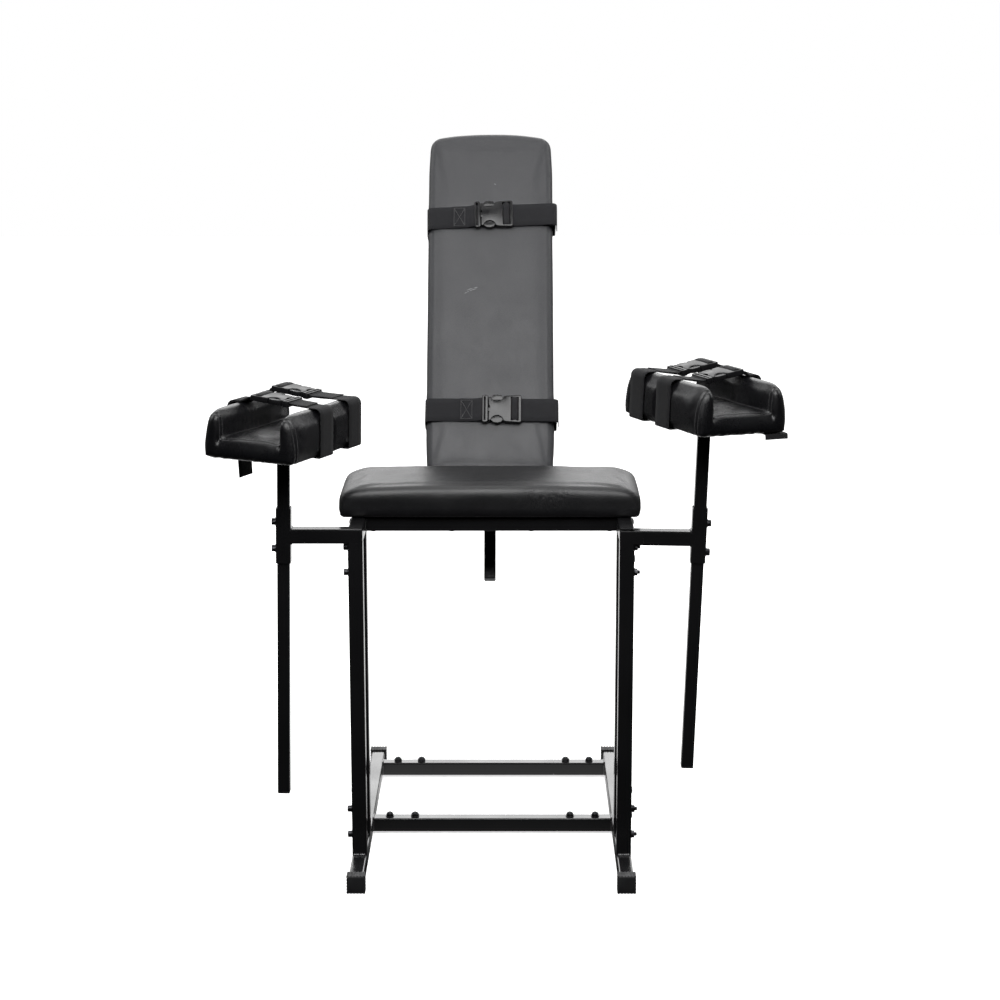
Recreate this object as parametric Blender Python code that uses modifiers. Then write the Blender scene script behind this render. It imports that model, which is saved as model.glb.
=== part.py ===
"""Padded frame chair with a sliding reclined back rest and two sliding limb rests.

Metres, +Z up. The chair faces -Y, and left is -X. Every piece hangs from the
empty chair_origin, which puts the world origin under the middle of the chair's
bounding box, on the floor.
"""
import math

import bmesh
import bpy
from mathutils import Matrix, Vector

# ---------------------------------------------------------------- dimensions
ORIGIN_SHIFT = (-0.009084, -0.447347, 0.0)     # chair frame to world

GAP = 0.0003                          # between touching pieces
TUBE = 0.030                          # square frame tube
WALL = 0.0015
TUBE_R = 0.0032                       # corner radius of the frame tube
INSERT = 0.025                        # insert tube inside a joint
POST = 0.025                          # square post
POST_R = 0.0028

SIDE_X = 0.272                        # side frame centre from the mid-plane
CAP = 0.038                           # foot cap outside, square
CAP_LEN = 0.026
FLOOR_Z = (CAP - TUBE) / 2.0          # underside of the floor tubes
BASE_LEN = 0.826                      # over the foot caps
UPRIGHT_Y = (0.141, 0.257)            # centres, front and rear
CROSS_Y = (0.358, 0.727)              # floor crossbar centres
CROSS_JOINT = 0.1395                  # stub end from the mid-plane
STUB_TOP = 0.155                      # lower upright stub top
UP_STUB = 0.601                       # upper upright stub underside
RAIL_Z = 0.692                        # underside of the seat rails
RAIL_TOP = RAIL_Z + TUBE
RAIL_END = 0.498                      # rear end of the seat rails
REAR_BAR_Y = 0.479                    # rear seat crossbar centre

SEAT_HALF = 0.311
SEAT_X = -0.003                       # seat middle from the mid-plane
SEAT_Y = (0.225, 0.466)
SEAT_TOP = 0.787

RECLINE = math.radians(30.0)
BACK_AXIS = (-0.005, 0.5206, 0.707)   # a point on the back post's axis
BACK_FRONT = -0.0708                  # cushion face, from the post's axis
BACK_REAR = -0.0161                   # back of the board and cushion
BACK_HALF = 0.1375
BACK_S = (0.0226, 0.836)              # cushion ends, along the post's axis
BACK_POST_S = (-0.184, 0.410)
BACK_STRAP_S = (0.172, 0.632)
BACK_BUCKLE_X = (0.0255, 0.0075)       # buckle middle on the lower, upper strap

REST_X = 0.4155
REST_Y = 0.141
REST_Z = 0.708                        # middle of the post sleeve
SLEEVE_LEN = 0.112
REST_POST_LEN = 0.702
REST_W, REST_L, REST_H = 0.204, 0.294, 0.095
REST_WALL = 0.030
REST_FLOOR = 0.034
REST_PLATE = 0.004
REST_GAP = 0.0032                     # between the board and the plate, for the webbing
REST_SLIDE_Y = 0.004                  # rest is set back on its post by this
# side: sleeve lean about Y, yaw of the trough, height of the rest's underside
# above the sleeve's middle, arm lean, arm drop
REST = {
    "left": (-1, math.radians(1.1), math.radians(-23.5), 0.1725, 0.0, 0.0),
    "right": (1, math.radians(1.85), math.radians(27.0), 0.2265, math.radians(1.0), 0.003),
}
CLAMP_Z = {"left": (-0.028, 0.027), "right": (-0.035, 0.024)}
# Each limb strap: its middle along the trough, then its buckle's middle across
# the trough and in height, and how far the buckle's outer end is tipped up.
REST_STRAPS = {
    "left": (("front", -0.016, -0.0095, 0.1040, math.radians(5.2)),
             ("rear", 0.104, -0.0300, 0.1030, math.radians(7.0))),
    "right": (("front", -0.013, 0.0200, 0.0985, math.radians(11.0)),
              ("rear", 0.088, 0.0240, 0.0985, math.radians(10.5))),
}

WEB = 0.052                           # webbing width
WEB_T = 0.0018
BACK_STRAP_SLACK = 0.004              # the loops stand off the cushion's right side
BUCKLE_W = 0.066
BUCKLE_T = 0.013
REST_CORNER = 0.020                   # outer top corner of a limb rest's walls
FEMALE_L = 0.0715
MALE_L = 0.0135
BUCKLE_LEN = FEMALE_L + MALE_L

# ------------------------------------------------------------------- helpers
for old in list(bpy.data.objects):
    bpy.data.objects.remove(old, do_unlink=True)

scene = bpy.context.scene
parts = bpy.data.collections.new("padded_frame_chair")
guides = bpy.data.collections.new("guides")
scene.collection.children.link(parts)
scene.collection.children.link(guides)

LOOKS = {
    "powder": ((0.012, 0.012, 0.013), 0.28, 0.0),
    "vinyl": ((0.020, 0.020, 0.022), 0.42, 0.0),
    "rubber": ((0.018, 0.018, 0.018), 0.75, 0.0),
    "web": ((0.016, 0.016, 0.017), 0.88, 0.0),
    "plastic": ((0.014, 0.014, 0.015), 0.35, 0.0),
    "wood": ((0.36, 0.25, 0.14), 0.70, 0.0),
    "steel": ((0.05, 0.05, 0.055), 0.32, 0.9),
}


def material(name, look):
    colour, rough, metal = LOOKS[look]
    m = bpy.data.materials.new(name + "_" + look)
    m.use_nodes = True
    shader = m.node_tree.nodes["Principled BSDF"]
    shader.inputs["Base Color"].default_value = (*colour, 1.0)
    shader.inputs["Roughness"].default_value = rough
    shader.inputs["Metallic"].default_value = metal
    return m


def box(lo, hi, radius=0.0, segments=3, along="xyz", keep=None):
    """A box mesh with the edges that run along the given axes rounded."""
    lo = Vector((min(lo[0], hi[0]), min(lo[1], hi[1]), min(lo[2], hi[2]))), Vector(
        (max(lo[0], hi[0]), max(lo[1], hi[1]), max(lo[2], hi[2])))
    lo, hi = lo
    bm = bmesh.new()
    bmesh.ops.create_cube(bm, size=1.0)
    bmesh.ops.scale(bm, vec=hi - lo, verts=bm.verts)
    bmesh.ops.translate(bm, vec=(lo + hi) / 2.0, verts=bm.verts)
    if radius:
        chosen = []
        for e in bm.edges:
            d = e.verts[1].co - e.verts[0].co
            axis = "xyz"[max(range(3), key=lambda i: abs(d[i]))]
            mid = (e.verts[0].co + e.verts[1].co) / 2.0
            if axis in along and (keep is None or keep(mid)):
                chosen.append(e)
        bmesh.ops.bevel(bm, geom=chosen, offset=radius, segments=segments,
                        profile=0.5, affect="EDGES", clamp_overlap=True)
    mesh = bpy.data.meshes.new("box")
    bm.to_mesh(mesh)
    bm.free()
    return mesh


def cylinder(radius, depth, sides, matrix, radius2=None):
    """A cylinder or cone about Z from z=0 to z=depth, then moved by matrix."""
    bm = bmesh.new()
    bmesh.ops.create_cone(bm, cap_ends=True, segments=sides, radius1=radius,
                          radius2=radius if radius2 is None else radius2, depth=depth)
    bmesh.ops.translate(bm, vec=(0, 0, depth / 2.0), verts=bm.verts)
    bmesh.ops.transform(bm, matrix=matrix, verts=bm.verts)
    mesh = bpy.data.meshes.new("cylinder")
    bm.to_mesh(mesh)
    bm.free()
    return mesh


def moved(mesh, matrix):
    mesh.transform(matrix)
    return mesh


def solid(base, adds=(), cuts=()):
    """One mesh: base joined with adds, then cut by cuts (EXACT Booleans)."""
    work = bpy.data.objects.new("work", base)
    scene.collection.objects.link(work)
    helpers = []
    for kind, group in (("UNION", adds), ("DIFFERENCE", cuts)):
        for mesh in group:
            h = bpy.data.objects.new("helper", mesh)
            scene.collection.objects.link(h)
            helpers.append(h)
            mod = work.modifiers.new(kind, "BOOLEAN")
            mod.operation = kind
            mod.solver = "EXACT"
            mod.object = h
    graph = bpy.context.evaluated_depsgraph_get()
    graph.update()
    mesh = bpy.data.meshes.new_from_object(work.evaluated_get(graph))
    for o in helpers + [work]:
        bpy.data.objects.remove(o, do_unlink=True)
    bm = bmesh.new()
    bm.from_mesh(mesh)
    bmesh.ops.remove_doubles(bm, verts=bm.verts, dist=1e-6)
    bmesh.ops.dissolve_limit(bm, angle_limit=math.radians(0.05), verts=bm.verts, edges=bm.edges)
    bm.to_mesh(mesh)
    bm.free()
    mesh.materials.clear()
    return mesh


def empty(name, location, rotation=(0.0, 0.0, 0.0), parent=None):
    e = bpy.data.objects.new(name, None)
    e.empty_display_size = 0.05
    e.location = location
    e.rotation_euler = rotation
    e.parent = parent
    guides.objects.link(e)
    return e


def place(name, mesh, look, parent, location=(0, 0, 0), rotation=(0, 0, 0)):
    mesh.name = name
    ob = bpy.data.objects.new(name, mesh)
    ob.location = location
    ob.rotation_euler = rotation
    ob.parent = parent
    mesh.materials.clear()
    mesh.materials.append(material(name, look))
    mesh.shade_smooth()
    mesh.set_sharp_from_angle(angle=math.radians(32.0))
    parts.objects.link(ob)
    return ob


def tube_box(lo, hi, along):
    return box(lo, hi, TUBE_R, 3, along)


def ribbon(points, width, thickness):
    """A strip of webbing: points (x, z) are the middle of its thickness, and
    it is width wide along Y. Open path, closed solid."""
    bm = bmesh.new()
    rows = []
    for x, z in points:
        rows.append((bm.verts.new((x, -width / 2.0, z)), bm.verts.new((x, width / 2.0, z))))
    for a, b in zip(rows, rows[1:]):
        bm.faces.new((a[0], b[0], b[1], a[1]))
    mesh = bpy.data.meshes.new("ribbon")
    bm.to_mesh(mesh)
    bm.free()
    work = bpy.data.objects.new("work", mesh)
    scene.collection.objects.link(work)
    mod = work.modifiers.new("thickness", "SOLIDIFY")
    mod.thickness = thickness
    mod.offset = 0.0
    mod.use_even_offset = True
    graph = bpy.context.evaluated_depsgraph_get()
    graph.update()
    out = bpy.data.meshes.new_from_object(work.evaluated_get(graph))
    bpy.data.objects.remove(work, do_unlink=True)
    bm = bmesh.new()
    bm.from_mesh(out)
    bmesh.ops.recalc_face_normals(bm, faces=bm.faces)
    bm.to_mesh(out)
    bm.free()
    return out


def arc(cx, cz, radius, a0, a1, steps):
    out = []
    for i in range(steps + 1):
        a = math.radians(a0 + (a1 - a0) * i / steps)
        out.append((cx + radius * math.cos(a), cz + radius * math.sin(a)))
    return out


def taut(point, centre, radius):
    """The angle, in degrees, where a straight run from point meets a round."""
    d = point - centre
    angle = math.atan2(d.y, d.x) - math.acos(min(1.0, radius / d.length))
    return min(90.0, math.degrees(angle))


def turn(axis, angle, location=(0, 0, 0)):
    return Matrix.Translation(location) @ Matrix.Rotation(angle, 4, axis)


origin = empty("chair_origin", ORIGIN_SHIFT)

# --------------------------------------------------------------- base frames
h = TUBE / 2.0
b = h - WALL


def base_frame(side):
    xs = side * SIDE_X
    z0, z1 = FLOOR_Z, FLOOR_Z + TUBE
    end = CAP_LEN - 0.022
    floor_tube = tube_box((xs - h, end, z0), (xs + h, BASE_LEN - end, z1), "y")
    adds = [tube_box((xs - h, y - h, z1 - 0.001), (xs + h, y + h, STUB_TOP), "z") for y in UPRIGHT_Y]
    adds += [tube_box((xs - side * (h - 0.002), y - h, z0), (side * CROSS_JOINT, y + h, z1), "x") for y in CROSS_Y]
    cuts = [box((xs - b, -0.02, z0 + WALL), (xs + b, BASE_LEN + 0.02, z1 - WALL))]
    cuts += [box((xs - b, y - b, z1 + 0.001), (xs + b, y + b, STUB_TOP + 0.02)) for y in UPRIGHT_Y]
    cuts += [box((xs - side * (h + 0.001), y - b, z0 + WALL), (side * (CROSS_JOINT - 0.02), y + b, z1 - WALL))
             for y in CROSS_Y]
    return solid(floor_tube, adds, cuts)


place("base_frame_left", base_frame(-1), "powder", origin)
place("base_frame_right", base_frame(1), "powder", origin)


def foot_cap(xs, y_face, inward):
    """A rubber cup: closed face at y_face, open towards inward."""
    c = CAP / 2.0
    body = box((xs - c, y_face, 0.0), (xs + c, y_face + inward * CAP_LEN, CAP), 0.0022, 2, "xyz",
               lambda m: m.z > 0.001)
    hole = box((xs - h - GAP, y_face + inward * (CAP_LEN - 0.022 - GAP), FLOOR_Z - GAP),
               (xs + h + GAP, y_face + inward * (CAP_LEN + 0.01), FLOOR_Z + TUBE + GAP))
    return solid(body, (), [hole])


for tag, side in (("left", -1), ("right", 1)):
    place("foot_cap_front_" + tag, foot_cap(side * SIDE_X, 0.0, 1), "rubber", origin)
    place("foot_cap_rear_" + tag, foot_cap(side * SIDE_X, BASE_LEN, -1), "rubber", origin)

# ----------------------------------------------------------- floor crossbars
i2 = INSERT / 2.0
ib = i2 - WALL
for tag, y in zip(("front", "rear"), CROSS_Y):
    zc = FLOOR_Z + h
    bar = tube_box((-CROSS_JOINT + GAP, y - h, zc - h), (CROSS_JOINT - GAP, y + h, zc + h), "x")
    core = box((-0.245, y - i2, zc - i2), (0.245, y + i2, zc + i2), 0.002, 2, "x")
    bore = box((-0.26, y - ib, zc - ib), (0.26, y + ib, zc + ib))
    place("floor_crossbar_" + tag, solid(bar, [core], [bore]), "powder", origin)

# ------------------------------------------------------------------ uprights
for tag, side in (("left", -1), ("right", 1)):
    for end, y in zip(("front", "rear"), UPRIGHT_Y):
        xs = side * SIDE_X
        leg = tube_box((xs - h, y - h, STUB_TOP + GAP), (xs + h, y + h, UP_STUB - GAP), "z")
        core = box((xs - i2, y - i2, 0.058), (xs + i2, y + i2, RAIL_Z - 0.003), 0.002, 2, "z")
        bore = box((xs - ib, y - ib, 0.05), (xs + ib, y + ib, RAIL_Z + 0.01))
        place("upright_%s_%s" % (end, tag), solid(leg, [core], [bore]), "powder", origin)

# --------------------------------------------------------- seat side frames


def seat_frame(tag):
    side, lean, yaw, rise, arm_lean, arm_drop = REST[tag]
    xs = side * SIDE_X
    y0, y1 = UPRIGHT_Y[0] - h, UPRIGHT_Y[0] + h
    rail = tube_box((xs - h, y0 + 0.003, RAIL_Z), (xs + h, RAIL_END, RAIL_TOP), "y")
    pivot = Vector((xs, REST_Y, RAIL_Z + h))
    arm_turn = (Matrix.Translation(pivot - Vector((0, 0, arm_drop))) @ Matrix.Rotation(arm_lean, 4, "Y")
                @ Matrix.Translation(-pivot))
    arm = moved(tube_box((xs - side * (h - 0.0015), y0, RAIL_Z), (side * (REST_X - 0.010), y1, RAIL_TOP), "x"), arm_turn)
    stubs = [tube_box((xs - h, y - h, UP_STUB), (xs + h, y + h, RAIL_Z + 0.002), "z") for y in UPRIGHT_Y]
    centre = (side * REST_X, REST_Y, REST_Z)
    sleeve = moved(tube_box((-h, -h, -SLEEVE_LEN / 2), (h, h, SLEEVE_LEN / 2), "z"), turn("Y", lean, centre))
    cuts = [box((xs - b, y0 + WALL, RAIL_Z + WALL), (xs + b, RAIL_END + 0.02, RAIL_TOP - WALL))]
    cuts += [moved(box((xs - side * (h - 0.004), y0 + WALL, RAIL_Z + WALL),
                       (side * (REST_X - h - 0.004), y1 - WALL, RAIL_TOP - WALL)), arm_turn)]
    cuts += [box((xs - b, y - b, UP_STUB - 0.02), (xs + b, y + b, RAIL_Z - 0.0005)) for y in UPRIGHT_Y]
    cuts += [moved(box((-b, -b, -SLEEVE_LEN), (b, b, SLEEVE_LEN)), turn("Y", lean, centre))]
    for dz in CLAMP_Z[tag]:
        hole = cylinder(0.0042, 0.03, 12, turn("Y", lean, centre) @ Matrix.Translation((side * 0.008, 0, dz))
                        @ Matrix.Rotation(side * math.pi / 2, 4, "Y"))
        cuts.append(hole)
    return solid(rail, [arm, *stubs, sleeve], cuts)


for tag in ("left", "right"):
    place("seat_frame_" + tag, seat_frame(tag), "powder", origin)
    xs = REST[tag][0] * SIDE_X
    flange = box((xs - h, RAIL_END + GAP, RAIL_Z), (xs + h, RAIL_END + 0.004, RAIL_TOP), 0.0025, 2, "y")
    stem = box((xs - b + GAP, RAIL_END - 0.014, RAIL_Z + WALL + GAP),
               (xs + b - GAP, RAIL_END + 0.002, RAIL_TOP - WALL - GAP))
    place("rail_plug_" + tag, solid(flange, [stem]), "plastic", origin)

# ------------------------------------------------------------ seat crossbars
inner = SIDE_X - h - GAP
yc = UPRIGHT_Y[1]
front_bar = solid(tube_box((-inner, yc - h, RAIL_Z), (inner, yc + h, RAIL_TOP), "x"), (),
                  [box((-inner - 0.01, yc - b, RAIL_Z + WALL), (inner + 0.01, yc + b, RAIL_TOP - WALL))])
place("seat_crossbar_front", front_bar, "powder", origin)

back_turn = turn("X", -RECLINE, BACK_AXIS)
SLEEVE_S = (-0.070, 0.008)
yc = REAR_BAR_Y
rear_bar = tube_box((-inner, yc - h, RAIL_Z), (inner, yc + h, RAIL_TOP), "x")
sleeve = moved(tube_box((-h, -h, SLEEVE_S[0]), (h, h, SLEEVE_S[1]), "z"), back_turn)
filler = box((BACK_AXIS[0] - 0.013, yc + h - 0.004, RAIL_Z + 0.003), (BACK_AXIS[0] + 0.013, yc + h + 0.014, RAIL_TOP - 0.004))
hollows = [box((-inner - 0.01, yc - b, RAIL_Z + WALL), (inner + 0.01, yc + b, RAIL_TOP - WALL)),
           moved(box((-b, -b, -0.2), (b, b, 0.2)), back_turn)]
BOLT_S = (-0.052, -0.012)
for s in BOLT_S:
    hollows.append(cylinder(0.0042, 0.03, 12, back_turn @ Matrix.Translation((0, 0.008, s)) @ Matrix.Rotation(-math.pi / 2, 4, "X")))
place("seat_crossbar_rear", solid(rear_bar, [sleeve, filler], hollows), "powder", origin)

# ---------------------------------------------------------------------- seat
board_lo = (SEAT_X - 0.290, SEAT_Y[0] + 0.015, RAIL_TOP + GAP)
board_hi = (SEAT_X + 0.290, SEAT_Y[1] - 0.015, RAIL_TOP + GAP + 0.012)
place("seat_board", box(board_lo, board_hi), "wood", origin)
cushion = box((SEAT_X - SEAT_HALF, SEAT_Y[0], RAIL_TOP + GAP), (SEAT_X + SEAT_HALF, SEAT_Y[1], SEAT_TOP), 0.026, 4, "xyz",
              lambda m: m.z > RAIL_TOP + 0.01)
pocket = box([v - GAP for v in board_lo], [v + GAP for v in board_hi])
place("seat_cushion", solid(cushion, (), [pocket]), "vinyl", origin)

# ------------------------------------------------------------ strap hardware


def buckle_female():
    """Socket half. Its mouth faces -X at x=0, its webbing bar is at +X."""
    w, t = BUCKLE_W / 2, BUCKLE_T / 2
    body = box((0.0, -w, -t), (FEMALE_L, w, t), 0.003, 2, "xy")
    mouth = box((-0.01, -w + 0.0075, -t + 0.0022), (0.034, w - 0.0075, t - 0.0022))
    windows = [box((0.010, s * (w - 0.012), -t + 0.0022), (0.026, s * (w + 0.01), t - 0.0022)) for s in (-1, 1)]
    slots = [box((x, -WEB / 2 - 0.001, -t - 0.01), (x + 0.0060, WEB / 2 + 0.001, t + 0.01)) for x in (0.0485, 0.0600)]
    return solid(body, (), [mouth, *windows, *slots])


def buckle_male():
    """Prong half. Its block ends at x=0, its prongs reach to +X."""
    w, t = BUCKLE_W / 2, BUCKLE_T / 2
    block = box((-MALE_L, -w, -t), (-GAP * 2, w, t), 0.003, 2, "xy")
    inner_w, arm_t = w - 0.0078, t - 0.0026
    arms = [box((-0.004, s * (inner_w - 0.007), -arm_t), (0.022, s * inner_w, arm_t)) for s in (-1, 1)]
    tabs = [box((0.0112, s * (inner_w - 0.004), -arm_t), (0.0245, s * (w - 0.0015), arm_t), 0.003, 2, "z") for s in (-1, 1)]
    tongue = box((-0.004, -0.006, -arm_t), (0.030, 0.006, arm_t))
    slot = box((-MALE_L + 0.0035, -WEB / 2 - 0.001, -t - 0.01), (-MALE_L + 0.0075, WEB / 2 + 0.001, t + 0.01))
    return solid(block, [*arms, *tabs, tongue], [slot])


FEMALE = buckle_female()
MALE = buckle_male()
BUCKLE_MID = (FEMALE_L - MALE_L) / 2   # from the parting line to the middle

# --------------------------------------------------------------- back rest
back = empty("back_slide_axis", BACK_AXIS, (-RECLINE, 0, 0), origin)
p2 = POST / 2.0
post = solid(box((-p2, -p2, BACK_POST_S[0]), (p2, p2, BACK_POST_S[1]), POST_R, 3, "z"), (),
             [box((-p2 + WALL, -p2 + WALL, BACK_POST_S[0] - 0.01), (p2 - WALL, p2 - WALL, BACK_POST_S[1] + 0.01))])
place("back_post", post, "powder", back)


def end_plug(z, sign):
    """A plug for the end of a post at height z: sign -1 is the lower end."""
    lo, hi = sorted((z - sign * 0.0, z + sign * 0.005))
    head = box((-p2, -p2, z + sign * GAP), (p2, p2, z + sign * 0.005), 0.0024, 2, "xyz",
               lambda m: (m.z - z) * sign > 0.001)
    s = p2 - WALL - GAP
    stem = box((-s, -s, z - sign * 0.014), (s, s, z + sign * 0.002))
    return solid(head, [stem])


place("back_post_plug", end_plug(BACK_POST_S[0], -1), "plastic", back)
for tag, s in (("lower", 0.250), ("upper", 0.375)):
    place("back_bracket_" + tag, box((-0.080, BACK_REAR + GAP, s - 0.020), (0.080, -p2 - GAP, s + 0.020), 0.004, 2, "y"),
          "powder", back)
lo = (-0.120, BACK_REAR - 0.012, BACK_S[0] + 0.0125)
hi = (0.120, BACK_REAR, BACK_S[1] - 0.0125)
place("back_board", box(lo, hi), "wood", back)
cushion = box((-BACK_HALF, BACK_FRONT, BACK_S[0]), (BACK_HALF, BACK_REAR, BACK_S[1]), 0.030, 3, "y")
bm = bmesh.new()
bm.from_mesh(cushion)
front = [e for e in bm.edges if all(v.co.y < BACK_FRONT + 1e-5 for v in e.verts)]
bmesh.ops.bevel(bm, geom=front, offset=0.011, segments=3, profile=0.5, affect="EDGES")
bm.to_mesh(cushion)
bm.free()
pocket = box([v - GAP for v in lo], [hi[0] + GAP, hi[1] + 0.01, hi[2] + GAP])
place("back_cushion", solid(cushion, (), [pocket]), "vinyl", back)

for tag, s, xb in zip(("lower", "upper"), BACK_STRAP_S, BACK_BUCKLE_X):
    # The loop runs round the cushion and the board, and stops at the buckle.
    e = 0.0004 + WEB_T / 2
    x1, yf, yr, r = BACK_HALF + e, -(BACK_FRONT - e), -(BACK_REAR + e), 0.011
    face = yf + 0.0035
    left_end = xb - BUCKLE_MID - MALE_L - 0.0004
    right_end = xb - BUCKLE_MID + FEMALE_L + 0.0004
    path = [(right_end, face), (right_end + 0.012, yf)]
    xr = x1 + BACK_STRAP_SLACK
    path += arc(xr - r - e, yf - r - e, r + e, 90, 0, 4)
    path += arc(xr - 0.0014, yr + 0.0014, 0.0014, 0, -90, 2)
    path += arc(-x1 + 0.0014, yr + 0.0014, 0.0014, -90, -180, 2)
    path += arc(-x1 + r + e, yf - r - e, r + e, 180, 90, 4)
    path += [(left_end - 0.012, yf), (left_end, face)]
    band = ribbon(path, WEB, WEB_T)
    # ribbon is in XZ with its width along Y: stand it so that Z points to -Y.
    place("back_strap_" + tag, band, "web", back, (0, 0, s), (math.pi / 2, 0, 0))
    yb = -(face + 0.0)
    place("back_buckle_socket_" + tag, FEMALE.copy(), "plastic", back, (xb - BUCKLE_MID, yb - 0.0032, s), (math.pi / 2, 0, 0))
    place("back_buckle_prongs_" + tag, MALE.copy(), "plastic", back, (xb - BUCKLE_MID, yb - 0.0032, s), (math.pi / 2, 0, 0))

# ---------------------------------------------------------------- limb rests


def trough():
    """Padded trough: origin under its middle, open along Y."""
    w, l = REST_W / 2, REST_L / 2
    body = box((-w, -l, 0.0), (w, l, REST_H), REST_CORNER, 4, "y", lambda m: m.z > 0.01 and abs(m.x) > 0.01)
    bm2 = bmesh.new()
    bm2.from_mesh(body)
    ends = [e for e in bm2.edges if all(v.co.y < -l + 1e-5 for v in e.verts) or all(v.co.y > l - 1e-5 for v in e.verts)]
    ends = [e for e in ends if max(v.co.z for v in e.verts) > 0.001]
    bmesh.ops.bevel(bm2, geom=ends, offset=0.007, segments=2, profile=0.5, affect="EDGES")
    bm2.to_mesh(body)
    bm2.free()
    wi = w - REST_WALL
    channel = box((-wi, -l - 0.05, REST_FLOOR), (wi, l + 0.05, REST_H + 0.10), 0.018, 3, "y",
                  lambda m: m.z < 0.05)
    recess = box((-0.0853, -0.1303, -0.01), (0.0853, 0.1303, 0.0103))
    return solid(body, (), [channel, recess])


TROUGH = trough()
for tag in ("left", "right"):
    side, lean, yaw, rise, arm_lean, arm_drop = REST[tag]
    axis = empty("rest_slide_axis_" + tag, (side * REST_X, REST_Y, REST_Z), (0, lean, 0), origin)
    top = rise - REST_PLATE - REST_GAP - GAP
    low = top - REST_POST_LEN
    post = solid(box((-p2, -p2, low), (p2, p2, top), POST_R, 3, "z"), (),
                 [box((-p2 + WALL, -p2 + WALL, low - 0.01), (p2 - WALL, p2 - WALL, top + 0.01))])
    place("rest_post_" + tag, post, "powder", axis)
    place("rest_post_plug_" + tag, end_plug(low, -1), "plastic", axis)
    head = empty("rest_head_" + tag, (0, 0, rise), (0, 0, yaw), axis)
    shift = (0, REST_SLIDE_Y, 0)
    plate = box((-0.060, -0.062, -REST_GAP - REST_PLATE), (0.060, 0.036, -REST_GAP), 0.006, 2, "z")
    bosses = [cylinder(0.0075, REST_GAP - GAP + 0.001, 16, Matrix.Translation((x, y, -REST_GAP - 0.001)))
              for x in (-0.048, 0.048) for y in (-0.0535, 0.0255)]
    place("rest_plate_" + tag, solid(plate, bosses), "powder", head, shift)
    place("rest_board_" + tag, box((-0.085, -0.130, 0.0), (0.085, 0.130, 0.010)), "wood", head, shift)
    place("rest_cushion_" + tag, TROUGH.copy(), "vinyl", head, shift)

    # Sleeve clamp bolts: hex head outside, shank through the sleeve's wall.
    for name, dz in zip(("lower", "upper"), CLAMP_Z[tag]):
        out = Matrix.Rotation(side * math.pi / 2, 4, "Y")
        shank = cylinder(0.0039, 0.010, 12, Matrix.Translation((side * (p2 + GAP), 0, dz)) @ out)
        washer = cylinder(0.0078, 0.0014, 16, Matrix.Translation((side * (h + GAP), 0, dz)) @ out)
        hexa = cylinder(0.0072, 0.0056, 6, Matrix.Translation((side * (h + 0.0014), 0, dz)) @ out)
        place("rest_clamp_bolt_%s_%s" % (name, tag), solid(hexa, [washer, shank]), "steel", origin,
              (side * REST_X, REST_Y, REST_Z), (0, lean, 0))

    w, hh, r = REST_W / 2, REST_H, REST_CORNER
    e = 0.0006 + WEB_T / 2
    for name, ys, xb, zb, tip in REST_STRAPS[tag]:
        # The socket is on the outer side, and that end is tipped up.
        angle = tip * side
        along = Vector((math.cos(angle), math.sin(angle)))
        middle = Vector((xb, zb))
        prong_end = middle + along * side * (BUCKLE_LEN / 2 + 0.0006)
        socket_end = middle - along * side * (BUCKLE_LEN / 2 + 0.0006)
        ends = (prong_end, socket_end) if side > 0 else (socket_end, prong_end)
        # A short straight run out of the buckle, then taut to the wall's corner.
        # A short straight run out of the buckle, then taut to the wall's corner,
        # or over the wall's inner edge first where the buckle's end is below it.
        right, left = ends
        lead = along * 0.004
        corner = Vector((w - r, hh - r))
        edge = (w - REST_WALL - 0.0005, hh + e + 0.0004)
        path = [tuple(right), tuple(right + lead)]
        if (right + lead).y < edge[1]:
            path.append(edge)
        path += arc(w - r, hh - r, r + e, taut(right + lead, corner, r + e), 0, 5)
        path += arc(w + e - 0.0014, -e + 0.0014, 0.0014, 0, -90, 2)
        path += arc(-w - e + 0.0014, -e + 0.0014, 0.0014, -90, -180, 2)
        mirrored = Vector((-(left - lead).x, (left - lead).y))
        path += arc(-w + r, hh - r, r + e, 180, 180 - taut(mirrored, corner, r + e), 5)
        if mirrored.y < edge[1]:
            path.append((-edge[0], edge[1]))
        path += [tuple(left - lead), tuple(left)]
        place("rest_strap_%s_%s" % (name, tag), ribbon(path, WEB, WEB_T), "web", head, (0, ys + REST_SLIDE_Y, 0))
        parting = middle - along * side * (BUCKLE_LEN / 2 - MALE_L)
        at = (parting.x, ys + REST_SLIDE_Y, parting.y)
        spin = Matrix.Rotation(-angle, 4, "Y") @ Matrix.Rotation(0 if side > 0 else math.pi, 4, "Z")
        for half, mesh in (("socket", FEMALE), ("prongs", MALE)):
            place("rest_buckle_%s_%s_%s" % (half, name, tag), mesh.copy(), "plastic", head, at, spin.to_euler())

# Back sleeve clamp bolts, on the sleeve's rear side.
for name, s in zip(("lower", "upper"), BOLT_S):
    out = Matrix.Rotation(-math.pi / 2, 4, "X")
    shank = cylinder(0.0039, 0.010, 12, Matrix.Translation((0, p2 + GAP, s)) @ out)
    washer = cylinder(0.0078, 0.0014, 16, Matrix.Translation((0, h + GAP, s)) @ out)
    hexa = cylinder(0.0072, 0.0056, 6, Matrix.Translation((0, h + 0.0014, s)) @ out)
    place("back_clamp_bolt_" + name, solid(hexa, [washer, shank]), "steel", origin, BACK_AXIS, (-RECLINE, 0, 0))

bpy.context.view_layer.update()
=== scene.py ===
import math
import random

import bmesh
import bpy
from mathutils import Matrix, Vector, noise
from mathutils.bvhtree import BVHTree


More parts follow.
